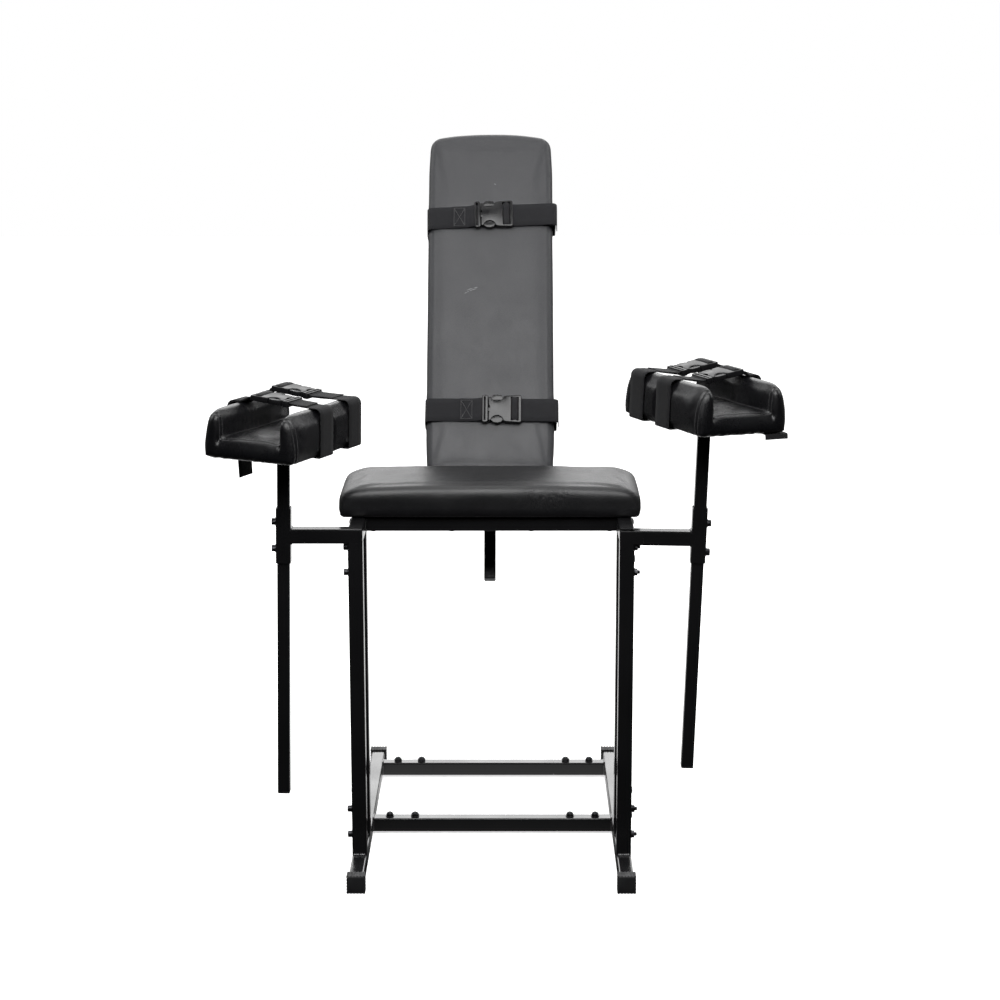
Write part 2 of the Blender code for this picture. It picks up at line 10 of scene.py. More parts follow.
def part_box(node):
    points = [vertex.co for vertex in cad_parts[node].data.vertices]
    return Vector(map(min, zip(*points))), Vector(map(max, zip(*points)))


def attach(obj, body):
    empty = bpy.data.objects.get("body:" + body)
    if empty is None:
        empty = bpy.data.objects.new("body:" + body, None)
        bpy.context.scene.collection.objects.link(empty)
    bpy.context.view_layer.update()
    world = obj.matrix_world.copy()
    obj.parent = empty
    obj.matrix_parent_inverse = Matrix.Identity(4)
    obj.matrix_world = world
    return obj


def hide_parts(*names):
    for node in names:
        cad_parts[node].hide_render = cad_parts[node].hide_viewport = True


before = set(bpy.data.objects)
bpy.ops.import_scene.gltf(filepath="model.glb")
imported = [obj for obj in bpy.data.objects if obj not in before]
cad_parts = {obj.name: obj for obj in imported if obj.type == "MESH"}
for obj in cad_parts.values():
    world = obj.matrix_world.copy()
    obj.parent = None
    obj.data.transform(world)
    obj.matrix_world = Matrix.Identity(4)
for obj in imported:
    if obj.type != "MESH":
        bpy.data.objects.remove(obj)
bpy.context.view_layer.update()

# The looks of the padded frame chair. Metres, +Z up, the chair faces -Y.
scene = bpy.context.scene
rng = random.Random(7)
rad = math.radians

# ------------------------------------------------------------------- frames
# Chair frame: x=0 on the mid-plane, y=0 at the front of the foot caps.
left_cap, right_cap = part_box("foot_cap_front_left"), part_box("foot_cap_front_right")
SHIFT = Vector(((left_cap[0].x + right_cap[1].x) / 2, left_cap[0].y, 0.0))
CHAIR = Matrix.Translation(SHIFT)

TUBE, POST, SIDE_X = 0.030, 0.025, 0.272
UPRIGHT_Y, CROSS_Y = (0.141, 0.257), (0.358, 0.727)
STUB_TOP, UP_STUB, RAIL_Z, RAIL_TOP = 0.155, 0.601, 0.692, 0.722
RECLINE = rad(30.0)
BACK = CHAIR @ Matrix.Translation((-0.005, 0.5206, 0.707)) @ Matrix.Rotation(-RECLINE, 4, "X")
REST_X, REST_Y, REST_Z, SLEEVE = 0.4155, 0.141, 0.708, 0.112
REST = {"left": (-1, rad(1.1), rad(-23.5), 0.1725), "right": (1, rad(1.85), rad(27.0), 0.2265)}
CLAMP_Z = {"left": (-0.028, 0.027), "right": (-0.035, 0.024)}
SLEEVE_M, HEAD = {}, {}
for tag, (side, lean, yaw, rise) in REST.items():
    SLEEVE_M[tag] = CHAIR @ Matrix.Translation((side * REST_X, REST_Y, REST_Z)) @ Matrix.Rotation(lean, 4, "Y")
    HEAD[tag] = SLEEVE_M[tag] @ Matrix.Translation((0, 0, rise)) @ Matrix.Rotation(yaw, 4, "Z") @ Matrix.Translation((0, 0.004, 0))

# ------------------------------------------------------------------- camera
data = bpy.data.cameras.new("camera")
data.lens = 79.655
data.sensor_width = 36.0
data.clip_end = 60.0
camera = bpy.data.objects.new("camera", data)
scene.collection.objects.link(camera)
camera.location = Vector((0.0338433, -4.1804866, 1.6964427)) + SHIFT
camera.rotation_euler = (Matrix.Rotation(0.0037, 4, "Z") @ Matrix.Rotation(math.pi / 2 - 0.2092, 4, "X")
                         @ Matrix.Rotation(-0.0011, 4, "Z")).to_euler()
scene.camera = camera
scene.view_settings.view_transform = "Standard"
scene.view_settings.look = "None"


# ---------------------------------------------------------------- materials
class Look:
    """A small builder for a node material around one Principled shader."""

    def __init__(self, name, rough=0.5, metal=0.0, spec=0.5, coat=0.0, coat_rough=0.1, sheen=0.0, colour=(0.02, 0.02, 0.02)):
        self.m = bpy.data.materials.new(name)
        self.m.use_nodes = True
        self.t = self.m.node_tree
        self.s = self.t.nodes["Principled BSDF"]
        i = self.s.inputs
        i["Base Color"].default_value = (*colour, 1)
        i["Roughness"].default_value = rough
        i["Metallic"].default_value = metal
        i["Specular IOR Level"].default_value = spec
        i["Coat Weight"].default_value = coat
        i["Coat Roughness"].default_value = coat_rough
        i["Sheen Weight"].default_value = sheen
        i["Sheen Roughness"].default_value = 0.5
        self.coords = self.t.nodes.new("ShaderNodeTexCoord").outputs["Object"]

    def node(self, kind, **inputs):
        n = self.t.nodes.new(kind)
        for k, v in inputs.items():
            key = k.replace("_", " ")
            if hasattr(v, "is_output"):
                self.t.links.new(v, n.inputs[key])
            else:
                n.inputs[key].default_value = v
        return n

    def stretch(self, scale, vector=None):
        n = self.t.nodes.new("ShaderNodeMapping")
        n.inputs["Scale"].default_value = scale
        self.t.links.new(vector or self.coords, n.inputs["Vector"])
        return n.outputs["Vector"]

    def noise(self, scale, detail=2.0, rough=0.5, vector=None, distortion=0.0):
        n = self.node("ShaderNodeTexNoise", Scale=scale, Detail=detail, Roughness=rough, Distortion=distortion)
        self.t.links.new(vector or self.coords, n.inputs["Vector"])
        return n.outputs["Fac"]

    def cells(self, scale, feature="DISTANCE_TO_EDGE", vector=None, randomness=1.0):
        n = self.t.nodes.new("ShaderNodeTexVoronoi")
        n.feature = feature
        n.inputs["Scale"].default_value = scale
        n.inputs["Randomness"].default_value = randomness
        self.t.links.new(vector or self.coords, n.inputs["Vector"])
        return n.outputs["Distance"]

    def span(self, value, a, b, c=0.0, d=1.0, smooth=True):
        n = self.t.nodes.new("ShaderNodeMapRange")
        n.interpolation_type = "SMOOTHSTEP" if smooth else "LINEAR"
        self.t.links.new(value, n.inputs["Value"])
        for key, v in (("From Min", a), ("From Max", b), ("To Min", c), ("To Max", d)):
            n.inputs[key].default_value = v
        return n.outputs["Result"]

    def math(self, op, a, b=0.0, c=0.0):
        n = self.t.nodes.new("ShaderNodeMath")
        n.operation = op
        for k, v in enumerate((a, b, c)):
            if hasattr(v, "is_output"):
                self.t.links.new(v, n.inputs[k])
            else:
                n.inputs[k].default_value = v
        return n.outputs[0]

    def mix(self, fac, a, b):
        n = self.t.nodes.new("ShaderNodeMix")
        n.data_type = "RGBA"
        self.t.links.new(fac, n.inputs[0])
        for k, v in ((6, a), (7, b)):
            if hasattr(v, "is_output"):
                self.t.links.new(v, n.inputs[k])
            else:
                n.inputs[k].default_value = (*v, 1)
        return n.outputs[2]

    def bump(self, height, distance, strength=1.0, normal=None):
        n = self.t.nodes.new("ShaderNodeBump")
        n.inputs["Distance"].default_value = distance
        n.inputs["Strength"].default_value = strength
        self.t.links.new(height, n.inputs["Height"])
        if normal is not None:
            self.t.links.new(normal, n.inputs["Normal"])
        return n.outputs["Normal"]

    def set(self, key, value):
        self.t.links.new(value, self.s.inputs[key])


def powder_coat():
    k = Look("powder_coat", rough=0.2, spec=0.5)
    cloud = k.noise(9.0, 4.0)
    peel = k.noise(520.0, 1.5, 0.45)
    grit = k.noise(2600.0, 2.0, 0.6)
    dust = k.span(k.noise(300.0, 5.0, 0.75), 0.70, 0.80)
    scuff = k.span(k.noise(60.0, 6.0, 0.8, vector=k.stretch((1.0, 1.0, 0.06)), distortion=0.6), 0.665, 0.72)
    base = k.mix(cloud, (0.0050, 0.0050, 0.0054), (0.0085, 0.0085, 0.0092))
    base = k.mix(k.math("MULTIPLY", dust, 0.35), base, (0.035, 0.035, 0.036))
    base = k.mix(k.math("MULTIPLY", scuff, 0.30), base, (0.030, 0.030, 0.031))
    k.set("Base Color", base)
    rough = k.span(cloud, 0.25, 0.75, 0.15, 0.24)
    k.set("Roughness", k.math("ADD", rough, k.math("MULTIPLY", scuff, 0.22)))
    k.set("Normal", k.bump(grit, 0.00003, 0.5, k.bump(peel, 0.00016, 0.35)))
    return k.m


def weld_coat_painted_highlight():
    """The same coat where it has flowed thick and glossy over a weld, its ripples coloured lighter as painted
    highlights.
    """
    k = Look("weld_coat_painted_highlight", rough=0.12, spec=0.8, coat=0.6, coat_rough=0.06)
    ripple = k.noise(420.0, 3.0, 0.6)
    # painted highlight: the ripples are coloured up to six times lighter than the frame's coat, standing in for glints
    # on the bead
    k.set("Base Color", k.mix(ripple, (0.010, 0.010, 0.011), (0.050, 0.050, 0.052)))
    k.set("Roughness", k.span(ripple, 0.3, 0.7, 0.10, 0.20))
    k.set("Normal", k.bump(ripple, 0.0002, 0.5))
    return k.m


def vinyl(name="vinyl", base_a=(0.0115, 0.0115, 0.0125), base_b=(0.019, 0.019, 0.0205), rough=(0.36, 0.47), grain=0.55, spec=0.5, scratch=(), creased=None):
    """Calendered leather-look vinyl: pebble grain, pores, faint creases."""
    k = Look(name, rough=0.42, spec=spec)
    warp = k.t.nodes.new("ShaderNodeVectorMath")
    warp.operation = "ADD"
    wn = k.node("ShaderNodeTexNoise", Scale=260.0, Detail=2.0)
    k.t.links.new(k.coords, wn.inputs["Vector"])
    scale = k.t.nodes.new("ShaderNodeVectorMath")
    scale.operation = "SCALE"
    scale.inputs["Scale"].default_value = 0.0016
    k.t.links.new(wn.outputs["Color"], scale.inputs[0])
    k.t.links.new(k.coords, warp.inputs[0])
    k.t.links.new(scale.outputs[0], warp.inputs[1])
    w = warp.outputs[0]
    pebble = k.span(k.cells(780.0, vector=w), 0.0, 0.16)
    coarse = k.span(k.cells(330.0, vector=w), 0.0, 0.10)
    pores = k.noise(2400.0, 2.0, 0.6)
    cloud = k.noise(13.0, 4.0, 0.6)
    crease = k.span(k.noise(34.0, 7.0, 0.68, distortion=0.9), 0.47, 0.53)
    ridge = k.math("ABSOLUTE", k.math("SUBTRACT", k.math("MULTIPLY", crease, 2.0), 1.0))
    scuff = k.span(k.noise(150.0, 6.0, 0.8), 0.66, 0.74)
    base = k.mix(cloud, base_a, base_b)
    base = k.mix(k.math("MULTIPLY", k.math("SUBTRACT", 1.0, pebble), 0.55), base, (0.006, 0.006, 0.0065))
    base = k.mix(k.math("MULTIPLY", scuff, 0.18), base, (0.05, 0.05, 0.052))
    k.set("Base Color", base)
    r = k.span(cloud, 0.25, 0.75, rough[0], rough[1])
    k.set("Roughness", k.math("ADD", r, k.math("MULTIPLY", k.math("SUBTRACT", 1.0, pebble), 0.14)))
    n = k.bump(ridge, 0.0006, 0.10)
    n = k.bump(coarse, 0.00012, 0.5 * grain, n)
    n = k.bump(pebble, 0.00010, 0.9 * grain, n)
    n = k.bump(pores, 0.00004, 0.5 * grain, n)
    k.set("Normal", n)
    if creased:
        split = k.t.nodes.new("ShaderNodeSeparateXYZ")
        k.t.links.new(k.coords, split.inputs[0])
        x, y, z = split.outputs[0], split.outputs[1], split.outputs[2]
        x0, y0, z0, reach = creased
        dx, dy, dz = k.math("SUBTRACT", x, x0), k.math("SUBTRACT", y, y0), k.math("MULTIPLY", k.math("SUBTRACT", z, z0), 1.9)
        far = k.math("SQRT", k.math("ADD", k.math("ADD", k.math("MULTIPLY", dx, dx), k.math("MULTIPLY", dy, dy)), k.math("MULTIPLY", dz, dz)))
        near = k.span(far, reach * 0.35, reach, 1.0, 0.0)
        wave = k.noise(120.0, 3.0, 0.55, vector=k.stretch((1.5, 0.6, 0.5)), distortion=0.6)
        line = k.span(k.math("ABSOLUTE", k.math("SUBTRACT", wave, 0.5)), 0.0, 0.07)
        k.set("Normal", k.bump(k.math("MULTIPLY", k.math("SUBTRACT", line, 1.0), near), 0.00045, 0.6, n))
    if scratch:
        split = k.t.nodes.new("ShaderNodeSeparateXYZ")
        k.t.links.new(k.coords, split.inputs[0])
        x, z = split.outputs[0], split.outputs[2]
        total = None
        for x0, z0, turn, length in scratch:
            ca, sa = math.cos(turn), math.sin(turn)
            dx, dz = k.math("SUBTRACT", x, x0), k.math("SUBTRACT", z, z0)
            a = k.math("ADD", k.math("MULTIPLY", dx, ca), k.math("MULTIPLY", dz, sa))
            b = k.math("SUBTRACT", k.math("MULTIPLY", dz, ca), k.math("MULTIPLY", dx, sa))
            b = k.math("ADD", b, k.math("MULTIPLY", k.math("MULTIPLY", a, a), 6.0))
            line = k.math("MULTIPLY", k.span(k.math("ABSOLUTE", b), 0.0004, 0.0013, 1.0, 0.0), k.span(k.math("ABSOLUTE", a), length * 0.3, length * 0.5, 1.0, 0.0))
            total = line if total is None else k.math("MAXIMUM", total, line)
        broken = k.math("MULTIPLY", total, k.span(k.noise(240.0, 3.0), 0.36, 0.55))
        k.set("Base Color", k.mix(k.math("MULTIPLY", broken, 0.8), base, (0.16, 0.16, 0.165)))
    return k.m


def webbing(name="webbing_weave", painted_shade_scale=1.0):
    """Flat polypropylene webbing. The band's own map runs u along and v across it, in metres."""
    k = Look(name, rough=0.86, spec=0.22, sheen=0.04)
    uv = k.t.nodes.new("ShaderNodeUVMap")
    uv.uv_map = "band"
    split = k.t.nodes.new("ShaderNodeSeparateXYZ")
    k.t.links.new(uv.outputs["UV"], split.inputs[0])
    u, v = split.outputs[0], split.outputs[1]
    chevron = k.math("PINGPONG", v, 0.0042)
    weft = k.math("SINE", k.math("MULTIPLY", k.math("ADD", u, k.math("MULTIPLY", chevron, 0.8)), 2 * math.pi / 0.0019))
    warp = k.math("SINE", k.math("MULTIPLY", v, 2 * math.pi / 0.0013))
    fuzz = k.noise(1500.0, 3.0, 0.7)
    weave = k.math("ADD", k.math("MULTIPLY", weft, 0.32), k.math("MULTIPLY", warp, 0.22))
    height = k.math("ADD", weave, k.math("MULTIPLY", fuzz, 0.35))
    shade = k.span(height, -0.45, 0.75)
    cloud = k.noise(26.0, 3.0)
    # painted_shade_scale darkens all the webbing's colours, as painted shade on the rests' copy
    a = tuple(c * painted_shade_scale for c in (0.0050, 0.0050, 0.0060))
    b = tuple(c * painted_shade_scale for c in (0.0150, 0.0150, 0.0172))
    base = k.mix(shade, a, b)
    base = k.mix(k.span(cloud, 0.35, 0.75, 0.0, 0.30), base, tuple(c * 1.25 * painted_shade_scale for c in (0.022, 0.022, 0.023)))
    k.set("Base Color", base)
    k.set("Roughness", k.span(cloud, 0.3, 0.7, 0.80, 0.92))
    k.set("Normal", k.bump(height, 0.00022, 0.7))
    return k.m


def moulded(name="moulded_plastic", base=(0.0045, 0.0045, 0.0050), rough=(0.17, 0.27), spec=0.5):
    k = Look(name, rough=0.3, spec=spec)
    cloud = k.noise(40.0, 3.0)
    spark = k.noise(1700.0, 2.0, 0.6)
    scratch = k.span(k.noise(110.0, 6.0, 0.8, vector=k.stretch((0.12, 1.0, 1.0)), distortion=0.4), 0.66, 0.72)
    k.set("Base Color", k.mix(k.math("MULTIPLY", scratch, 0.35), k.mix(cloud, base, tuple(c * 1.5 for c in base)), (0.04, 0.04, 0.041)))
    k.set("Roughness", k.math("ADD", k.span(cloud, 0.3, 0.7, *rough), k.math("MULTIPLY", scratch, 0.18)))
    k.set("Normal", k.bump(spark, 0.00004, 0.6))
    return k.m


def rubber():
    k = Look("foot_rubber", rough=0.62, spec=0.42)
    cloud = k.noise(55.0, 4.0)
    grit = k.noise(1300.0, 3.0, 0.65)
    dust = k.span(k.noise(190.0, 6.0, 0.8), 0.60, 0.72)
    base = k.mix(cloud, (0.0125, 0.0125, 0.0138), (0.019, 0.019, 0.0205))
    k.set("Base Color", k.mix(k.math("MULTIPLY", dust, 0.25), base, (0.07, 0.069, 0.066)))
    k.set("Roughness", k.span(cloud, 0.3, 0.7, 0.52, 0.68))
    k.set("Normal", k.bump(grit, 0.00010, 0.55))
    return k.m


def fastener():
    k = Look("black_zinc_steel", rough=0.3, metal=0.85)
    cloud = k.noise(140.0, 4.0)
    grind = k.noise(900.0, 3.0, 0.6, vector=k.stretch((1.0, 1.0, 0.15)))
    wear = k.span(k.noise(320.0, 5.0, 0.75), 0.62, 0.74)
    base = k.mix(cloud, (0.020, 0.020, 0.022), (0.045, 0.045, 0.049))
    k.set("Base Color", k.mix(k.math("MULTIPLY", wear, 0.5), base, (0.17, 0.17, 0.175)))
    k.set("Roughness", k.span(cloud, 0.3, 0.7, 0.26, 0.42))
    k.set("Normal", k.bump(grind, 0.00005, 0.5))
    return k.m


def thread(name="stitch_thread", base=(0.012, 0.012, 0.013)):
    k = Look(name, rough=0.7, sheen=0.3)
    twist = k.math("SINE", k.math("MULTIPLY", k.noise(900.0, 1.0), 34.0))
    k.set("Base Color", k.mix(k.span(twist, -1, 1), base, tuple(c * 2.1 for c in base)))
    k.set("Normal", k.bump(twist, 0.00008, 0.6))
    return k.m


def plywood():
    k = Look("black_stained_plywood", rough=0.62, spec=0.35)
    grain = k.noise(150.0, 6.0, 0.6, vector=k.stretch((1.0, 0.045, 0.045)), distortion=0.25)
    fibre = k.noise(1100.0, 3.0, 0.6, vector=k.stretch((1.0, 0.04, 0.04)))
    base = k.mix(grain, (0.0125, 0.0120, 0.0116), (0.0185, 0.0175, 0.0166))
    base = k.mix(k.math("MULTIPLY", k.span(fibre, 0.50, 0.75), 0.35), base, (0.0085, 0.0080, 0.0076))
    k.set("Base Color", base)
    k.set("Roughness", k.span(grain, 0.3, 0.7, 0.58, 0.70))
    k.set("Normal", k.bump(fibre, 0.00010, 0.5))
    return k.m


def dust_cloth():
    """Spun-bonded cloth over the back of a board."""
    k = Look("dust_cloth", rough=0.93, spec=0.25, sheen=0.2)
    fibre = k.noise(1500.0, 4.0, 0.75)
    dots = k.span(k.cells(420.0, feature="F1", randomness=0.15), 0.28, 0.42)
    k.set("Base Color", k.mix(fibre, (0.010, 0.010, 0.011), (0.030, 0.030, 0.032)))
    k.set("Normal", k.bump(dots, 0.00012, 0.6, k.bump(fibre, 0.00010, 0.6)))
    return k.m


POWDER = powder_coat()
WELD = weld_coat_painted_highlight()
VINYL = vinyl("seat_vinyl", (0.0055, 0.0055, 0.0062), (0.0085, 0.0085, 0.0095), (0.28, 0.37), spec=0.42, creased=(0.115, -0.1205, 0.045, 0.085))
# painted sheen: the back's cover is the seat's vinyl, coloured about four times lighter to stand in for the overhead
# light it reflects
BACK_VINYL_PAINTED_SHEEN = vinyl("back_vinyl_painted_sheen", (0.022, 0.0225, 0.0255), (0.032, 0.0325, 0.036), (0.42, 0.52), 0.6,
                   scratch=((-0.0445, 0.4535, rad(24), 0.034), (-0.0400, 0.4590, rad(17), 0.030), (0.010, 0.712, rad(-30), 0.006)))
# painted shade: the rests' cover is the seat's vinyl, coloured about half as light to match how dark the rests look
# under this lighting
REST_VINYL_PAINTED_SHADE = vinyl("rest_vinyl_painted_shade", (0.0024, 0.0024, 0.0030), (0.0044, 0.0044, 0.0053), (0.22, 0.31), 0.45, spec=0.34)
WELT = vinyl("welt_vinyl", (0.0075, 0.0075, 0.008), (0.012, 0.012, 0.013), (0.34, 0.44), 0.35)
WEB = webbing()
# painted shade: the rests' webbing is the same webbing coloured half as light
REST_WEB_PAINTED_SHADE = webbing("rest_webbing_weave_painted_shade", 0.5)
PLASTIC = moulded(spec=0.34)
REST_PLASTIC = moulded("rest_moulded_plastic", rough=(0.34, 0.44), spec=0.22)
PLUG = moulded("plug_plastic", (0.012, 0.012, 0.013), (0.42, 0.55), 0.4)
RUBBER = rubber()
BOLT = fastener()
THREAD = thread()
WOOD = plywood()
CLOTH = dust_cloth()


# ------------------------------------------------------------------ helpers
def sharp(mesh, angle=38.0):
    mesh.shade_smooth()
    mesh.set_sharp_from_angle(angle=rad(angle))


def piece(name, mesh, matrix, body, look, replaces=(), angle=38.0):
    mesh.name = name
    ob = bpy.data.objects.new(name, mesh)
    scene.collection.objects.link(ob)
    ob.matrix_world = matrix
    mesh.materials.clear()
    for m in (look if isinstance(look, (list, tuple)) else [look]):
        mesh.materials.append(m)
    if angle:
        sharp(mesh, angle)
    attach(ob, body)
    if replaces:
        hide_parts(*replaces)
    return ob


def to_mesh(bm, name="mesh"):
    mesh = bpy.data.meshes.new(name)
    bm.normal_update()
    bm.to_mesh(mesh)
    bm.free()
    return mesh


def joined(parts, merge=0.0):
    """One mesh from a list of (mesh, matrix)."""
    bm = bmesh.new()
    for mesh, matrix in parts:
        before = len(bm.verts)
        bm.from_mesh(mesh)
        bm.verts.ensure_lookup_table()
        for v in bm.verts[before:]:
            v.co = matrix @ v.co
    if merge:
        bmesh.ops.remove_doubles(bm, verts=bm.verts, dist=merge)
    return to_mesh(bm, "joined")


def rounded_box(size, radius, segments=4, centre=(0, 0, 0)):
    bm = bmesh.new()
    bmesh.ops.create_cube(bm, size=1.0)
    bmesh.ops.scale(bm, vec=size, verts=bm.verts)
    if radius:
        bmesh.ops.bevel(bm, geom=bm.edges[:], offset=radius, segments=segments, profile=0.5, affect="EDGES", clamp_overlap=True)
    bmesh.ops.translate(bm, vec=centre, verts=bm.verts)
    return to_mesh(bm, "rounded_box")


def lathe(profile, sides=32):
    """A closed solid of revolution about Z from (r, z) points, ends on the axis."""
    bm = bmesh.new()
    rings = []
    for r, z in profile:
        if r < 1e-7:
            rings.append([bm.verts.new((0, 0, z))])
        else:
            rings.append([bm.verts.new((r * math.cos(2 * math.pi * i / sides), r * math.sin(2 * math.pi * i / sides), z))
                          for i in range(sides)])
    for a, b in zip(rings, rings[1:]):
        for i in range(sides):
            j = (i + 1) % sides
            if len(a) == 1 and len(b) == 1:
                continue
            if len(a) == 1:
                bm.faces.new((a[0], b[j], b[i]))
            elif len(b) == 1:
                bm.faces.new((a[i], a[j], b[0]))
            else:
                bm.faces.new((a[i], a[j], b[j], b[i]))
    bmesh.ops.recalc_face_normals(bm, faces=bm.faces)
    return to_mesh(bm, "lathe")


def prism(outline, z0, z1, bevel=0.0, segments=2):
    """An outline (x, y) stood up from z0 to z1 with its rims rounded."""
    bm = bmesh.new()
    low = [bm.verts.new((x, y, z0)) for x, y in outline]
    high = [bm.verts.new((x, y, z1)) for x, y in outline]
    n = len(outline)
    bottom = bm.faces.new(list(reversed(low)))
    top = bm.faces.new(high)
    for i in range(n):
        bm.faces.new((low[i], low[(i + 1) % n], high[(i + 1) % n], high[i]))
    bmesh.ops.recalc_face_normals(bm, faces=bm.faces)
    if bevel:
        rim = list(set(bottom.edges) | set(top.edges))
        bmesh.ops.bevel(bm, geom=rim, offset=bevel, segments=segments, profile=0.5, affect="EDGES", clamp_overlap=True)
    return to_mesh(bm, "prism")


def fillet(points, steps=4):
    """Corner points (x, y, radius) as an outline with rounded corners."""
    out = []
    n = len(points)
    for i, (x, y, r) in enumerate(points):
        p = Vector((x, y))
        a = Vector(points[i - 1][:2]) - p
        b = Vector(points[(i + 1) % n][:2]) - p
        if r <= 0 or a.length < 1e-9 or b.length < 1e-9:
            out.append((x, y))
            continue
        cos = max(-0.9999, min(0.9999, a.normalized().dot(b.normalized())))
        half = math.acos(cos) / 2
        d = min(r / math.tan(half), a.length * 0.49, b.length * 0.49)
        r = d * math.tan(half)
        start, end = p + a.normalized() * d, p + b.normalized() * d
        centre = p + (a.normalized() + b.normalized()).normalized() * (r / math.sin(half))
        a0 = math.atan2(*(start - centre).yx)
        a1 = math.atan2(*(end - centre).yx)
        turn = (a1 - a0 + math.pi) % (2 * math.pi) - math.pi
        for s in range(steps + 1):
            t = a0 + turn * s / steps
            out.append((centre.x + r * math.cos(t), centre.y + r * math.sin(t)))
    return out


def boolean(mesh, others, operation="DIFFERENCE"):
    work = bpy.data.objects.new("work", mesh)
    scene.collection.objects.link(work)
    extra = []
    for o in others:
        h = bpy.data.objects.new("helper", o)
        scene.collection.objects.link(h)
        extra.append(h)
        mod = work.modifiers.new("cut", "BOOLEAN")
        mod.operation, mod.solver, mod.object = operation, "EXACT", h
    dg = bpy.context.evaluated_depsgraph_get()
    dg.update()
    out = bpy.data.meshes.new_from_object(work.evaluated_get(dg))
    for o in extra + [work]:
        bpy.data.objects.remove(o, do_unlink=True)
    out.materials.clear()
    return out


def soft_box(lo, hi, radii, steps=7):
    """A box as the hull of eight ellipsoids. radii(sx, sy, sz) gives each corner's three radii."""
    bm = bmesh.new()
    for ix in (0, 1):
        for iy in (0, 1):
            for iz in (0, 1):
                rx, ry, rz = radii(ix * 2 - 1, iy * 2 - 1, iz * 2 - 1)
                cx = hi[0] - rx if ix else lo[0] + rx
                cy = hi[1] - ry if iy else lo[1] + ry
                cz = hi[2] - rz if iz else lo[2] + rz
                for a in range(steps + 1):
                    for b in range(steps + 1):
                        u, v = a / steps * math.pi / 2, b / steps * math.pi / 2
                        bm.verts.new((cx + (ix * 2 - 1) * rx * math.cos(u) * math.cos(v),
                                      cy + (iy * 2 - 1) * ry * math.sin(u) * math.cos(v),
                                      cz + (iz * 2 - 1) * rz * math.sin(v)))
    bmesh.ops.remove_doubles(bm, verts=bm.verts, dist=1e-6)
    hull = bmesh.ops.convex_hull(bm, input=bm.verts[:])
    loose = [v for v in bm.verts if not v.link_faces]
    bmesh.ops.delete(bm, geom=loose, context="VERTS")
    bmesh.ops.recalc_face_normals(bm, faces=bm.faces)
    return to_mesh(bm, "soft_box")


def curve_points(points, step):
    """A smooth line through 2-D or 3-D points, sampled about every step."""
    pts = [Vector(p) for p in points]
    out = []
    for i in range(len(pts) - 1):
        p0 = pts[max(i - 1, 0)]
        p1, p2 = pts[i], pts[i + 1]
        p3 = pts[min(i + 2, len(pts) - 1)]
        n = max(1, int(round((p2 - p1).length / step)))
        for s in range(n):
            t = s / n
            t1, t2, t3 = (p1 - p0).length ** 0.5 or 1e-6, (p2 - p1).length ** 0.5 or 1e-6, (p3 - p2).length ** 0.5 or 1e-6
            m1 = (p2 - p1) + t2 * ((p1 - p0) / t1 - (p2 - p0) / (t1 + t2))
            m2 = (p2 - p1) + t2 * ((p3 - p2) / t3 - (p3 - p1) / (t2 + t3))
            a, b = 2 * t ** 3 - 3 * t ** 2 + 1, t ** 3 - 2 * t ** 2 + t
            c, d = -2 * t ** 3 + 3 * t ** 2, t ** 3 - t ** 2
            out.append(a * p1 + b * m1 + c * p2 + d * m2)
    out.append(pts[-1])
    return out


def rounded_path(points, radius, step=0.003):
    """A polyline with its corners rounded: points are (x, z) or (x, z, r)."""
    pts = [Vector(p[:2]) for p in points]
    out = [pts[0]]
    for i in range(1, len(pts) - 1):
        r = points[i][2] if len(points[i]) > 2 else radius
        p, a, b = pts[i], pts[i - 1] - pts[i], pts[i + 1] - pts[i]
        cos = max(-0.9999, min(0.9999, a.normalized().dot(b.normalized())))
        half = math.acos(cos) / 2
        d = min(r / math.tan(half), a.length * 0.48, b.length * 0.48)
        if d < 1e-5:
            out.append(p)
            continue
        rr = d * math.tan(half)
        centre = p + (a.normalized() + b.normalized()).normalized() * (rr / math.sin(half))
        s0, s1 = p + a.normalized() * d - centre, p + b.normalized() * d - centre
        a0, a1 = math.atan2(s0.y, s0.x), math.atan2(s1.y, s1.x)
        turn = (a1 - a0 + math.pi) % (2 * math.pi) - math.pi
        n = max(3, int(abs(turn) * rr / 0.0012))
        n = min(n, 12)
        for s in range(n + 1):
            t = a0 + turn * s / n
            out.append(centre + rr * Vector((math.cos(t), math.sin(t))))
    out.append(pts[-1])
    dense = [out[0]]
    for a, b in zip(out, out[1:]):
        n = max(1, int((b - a).length / (step * 2.2)))
        for s in range(1, n + 1):
            q = a + (b - a) * s / n
            if (q - dense[-1]).length > 1e-5:
                dense.append(q)
    return dense


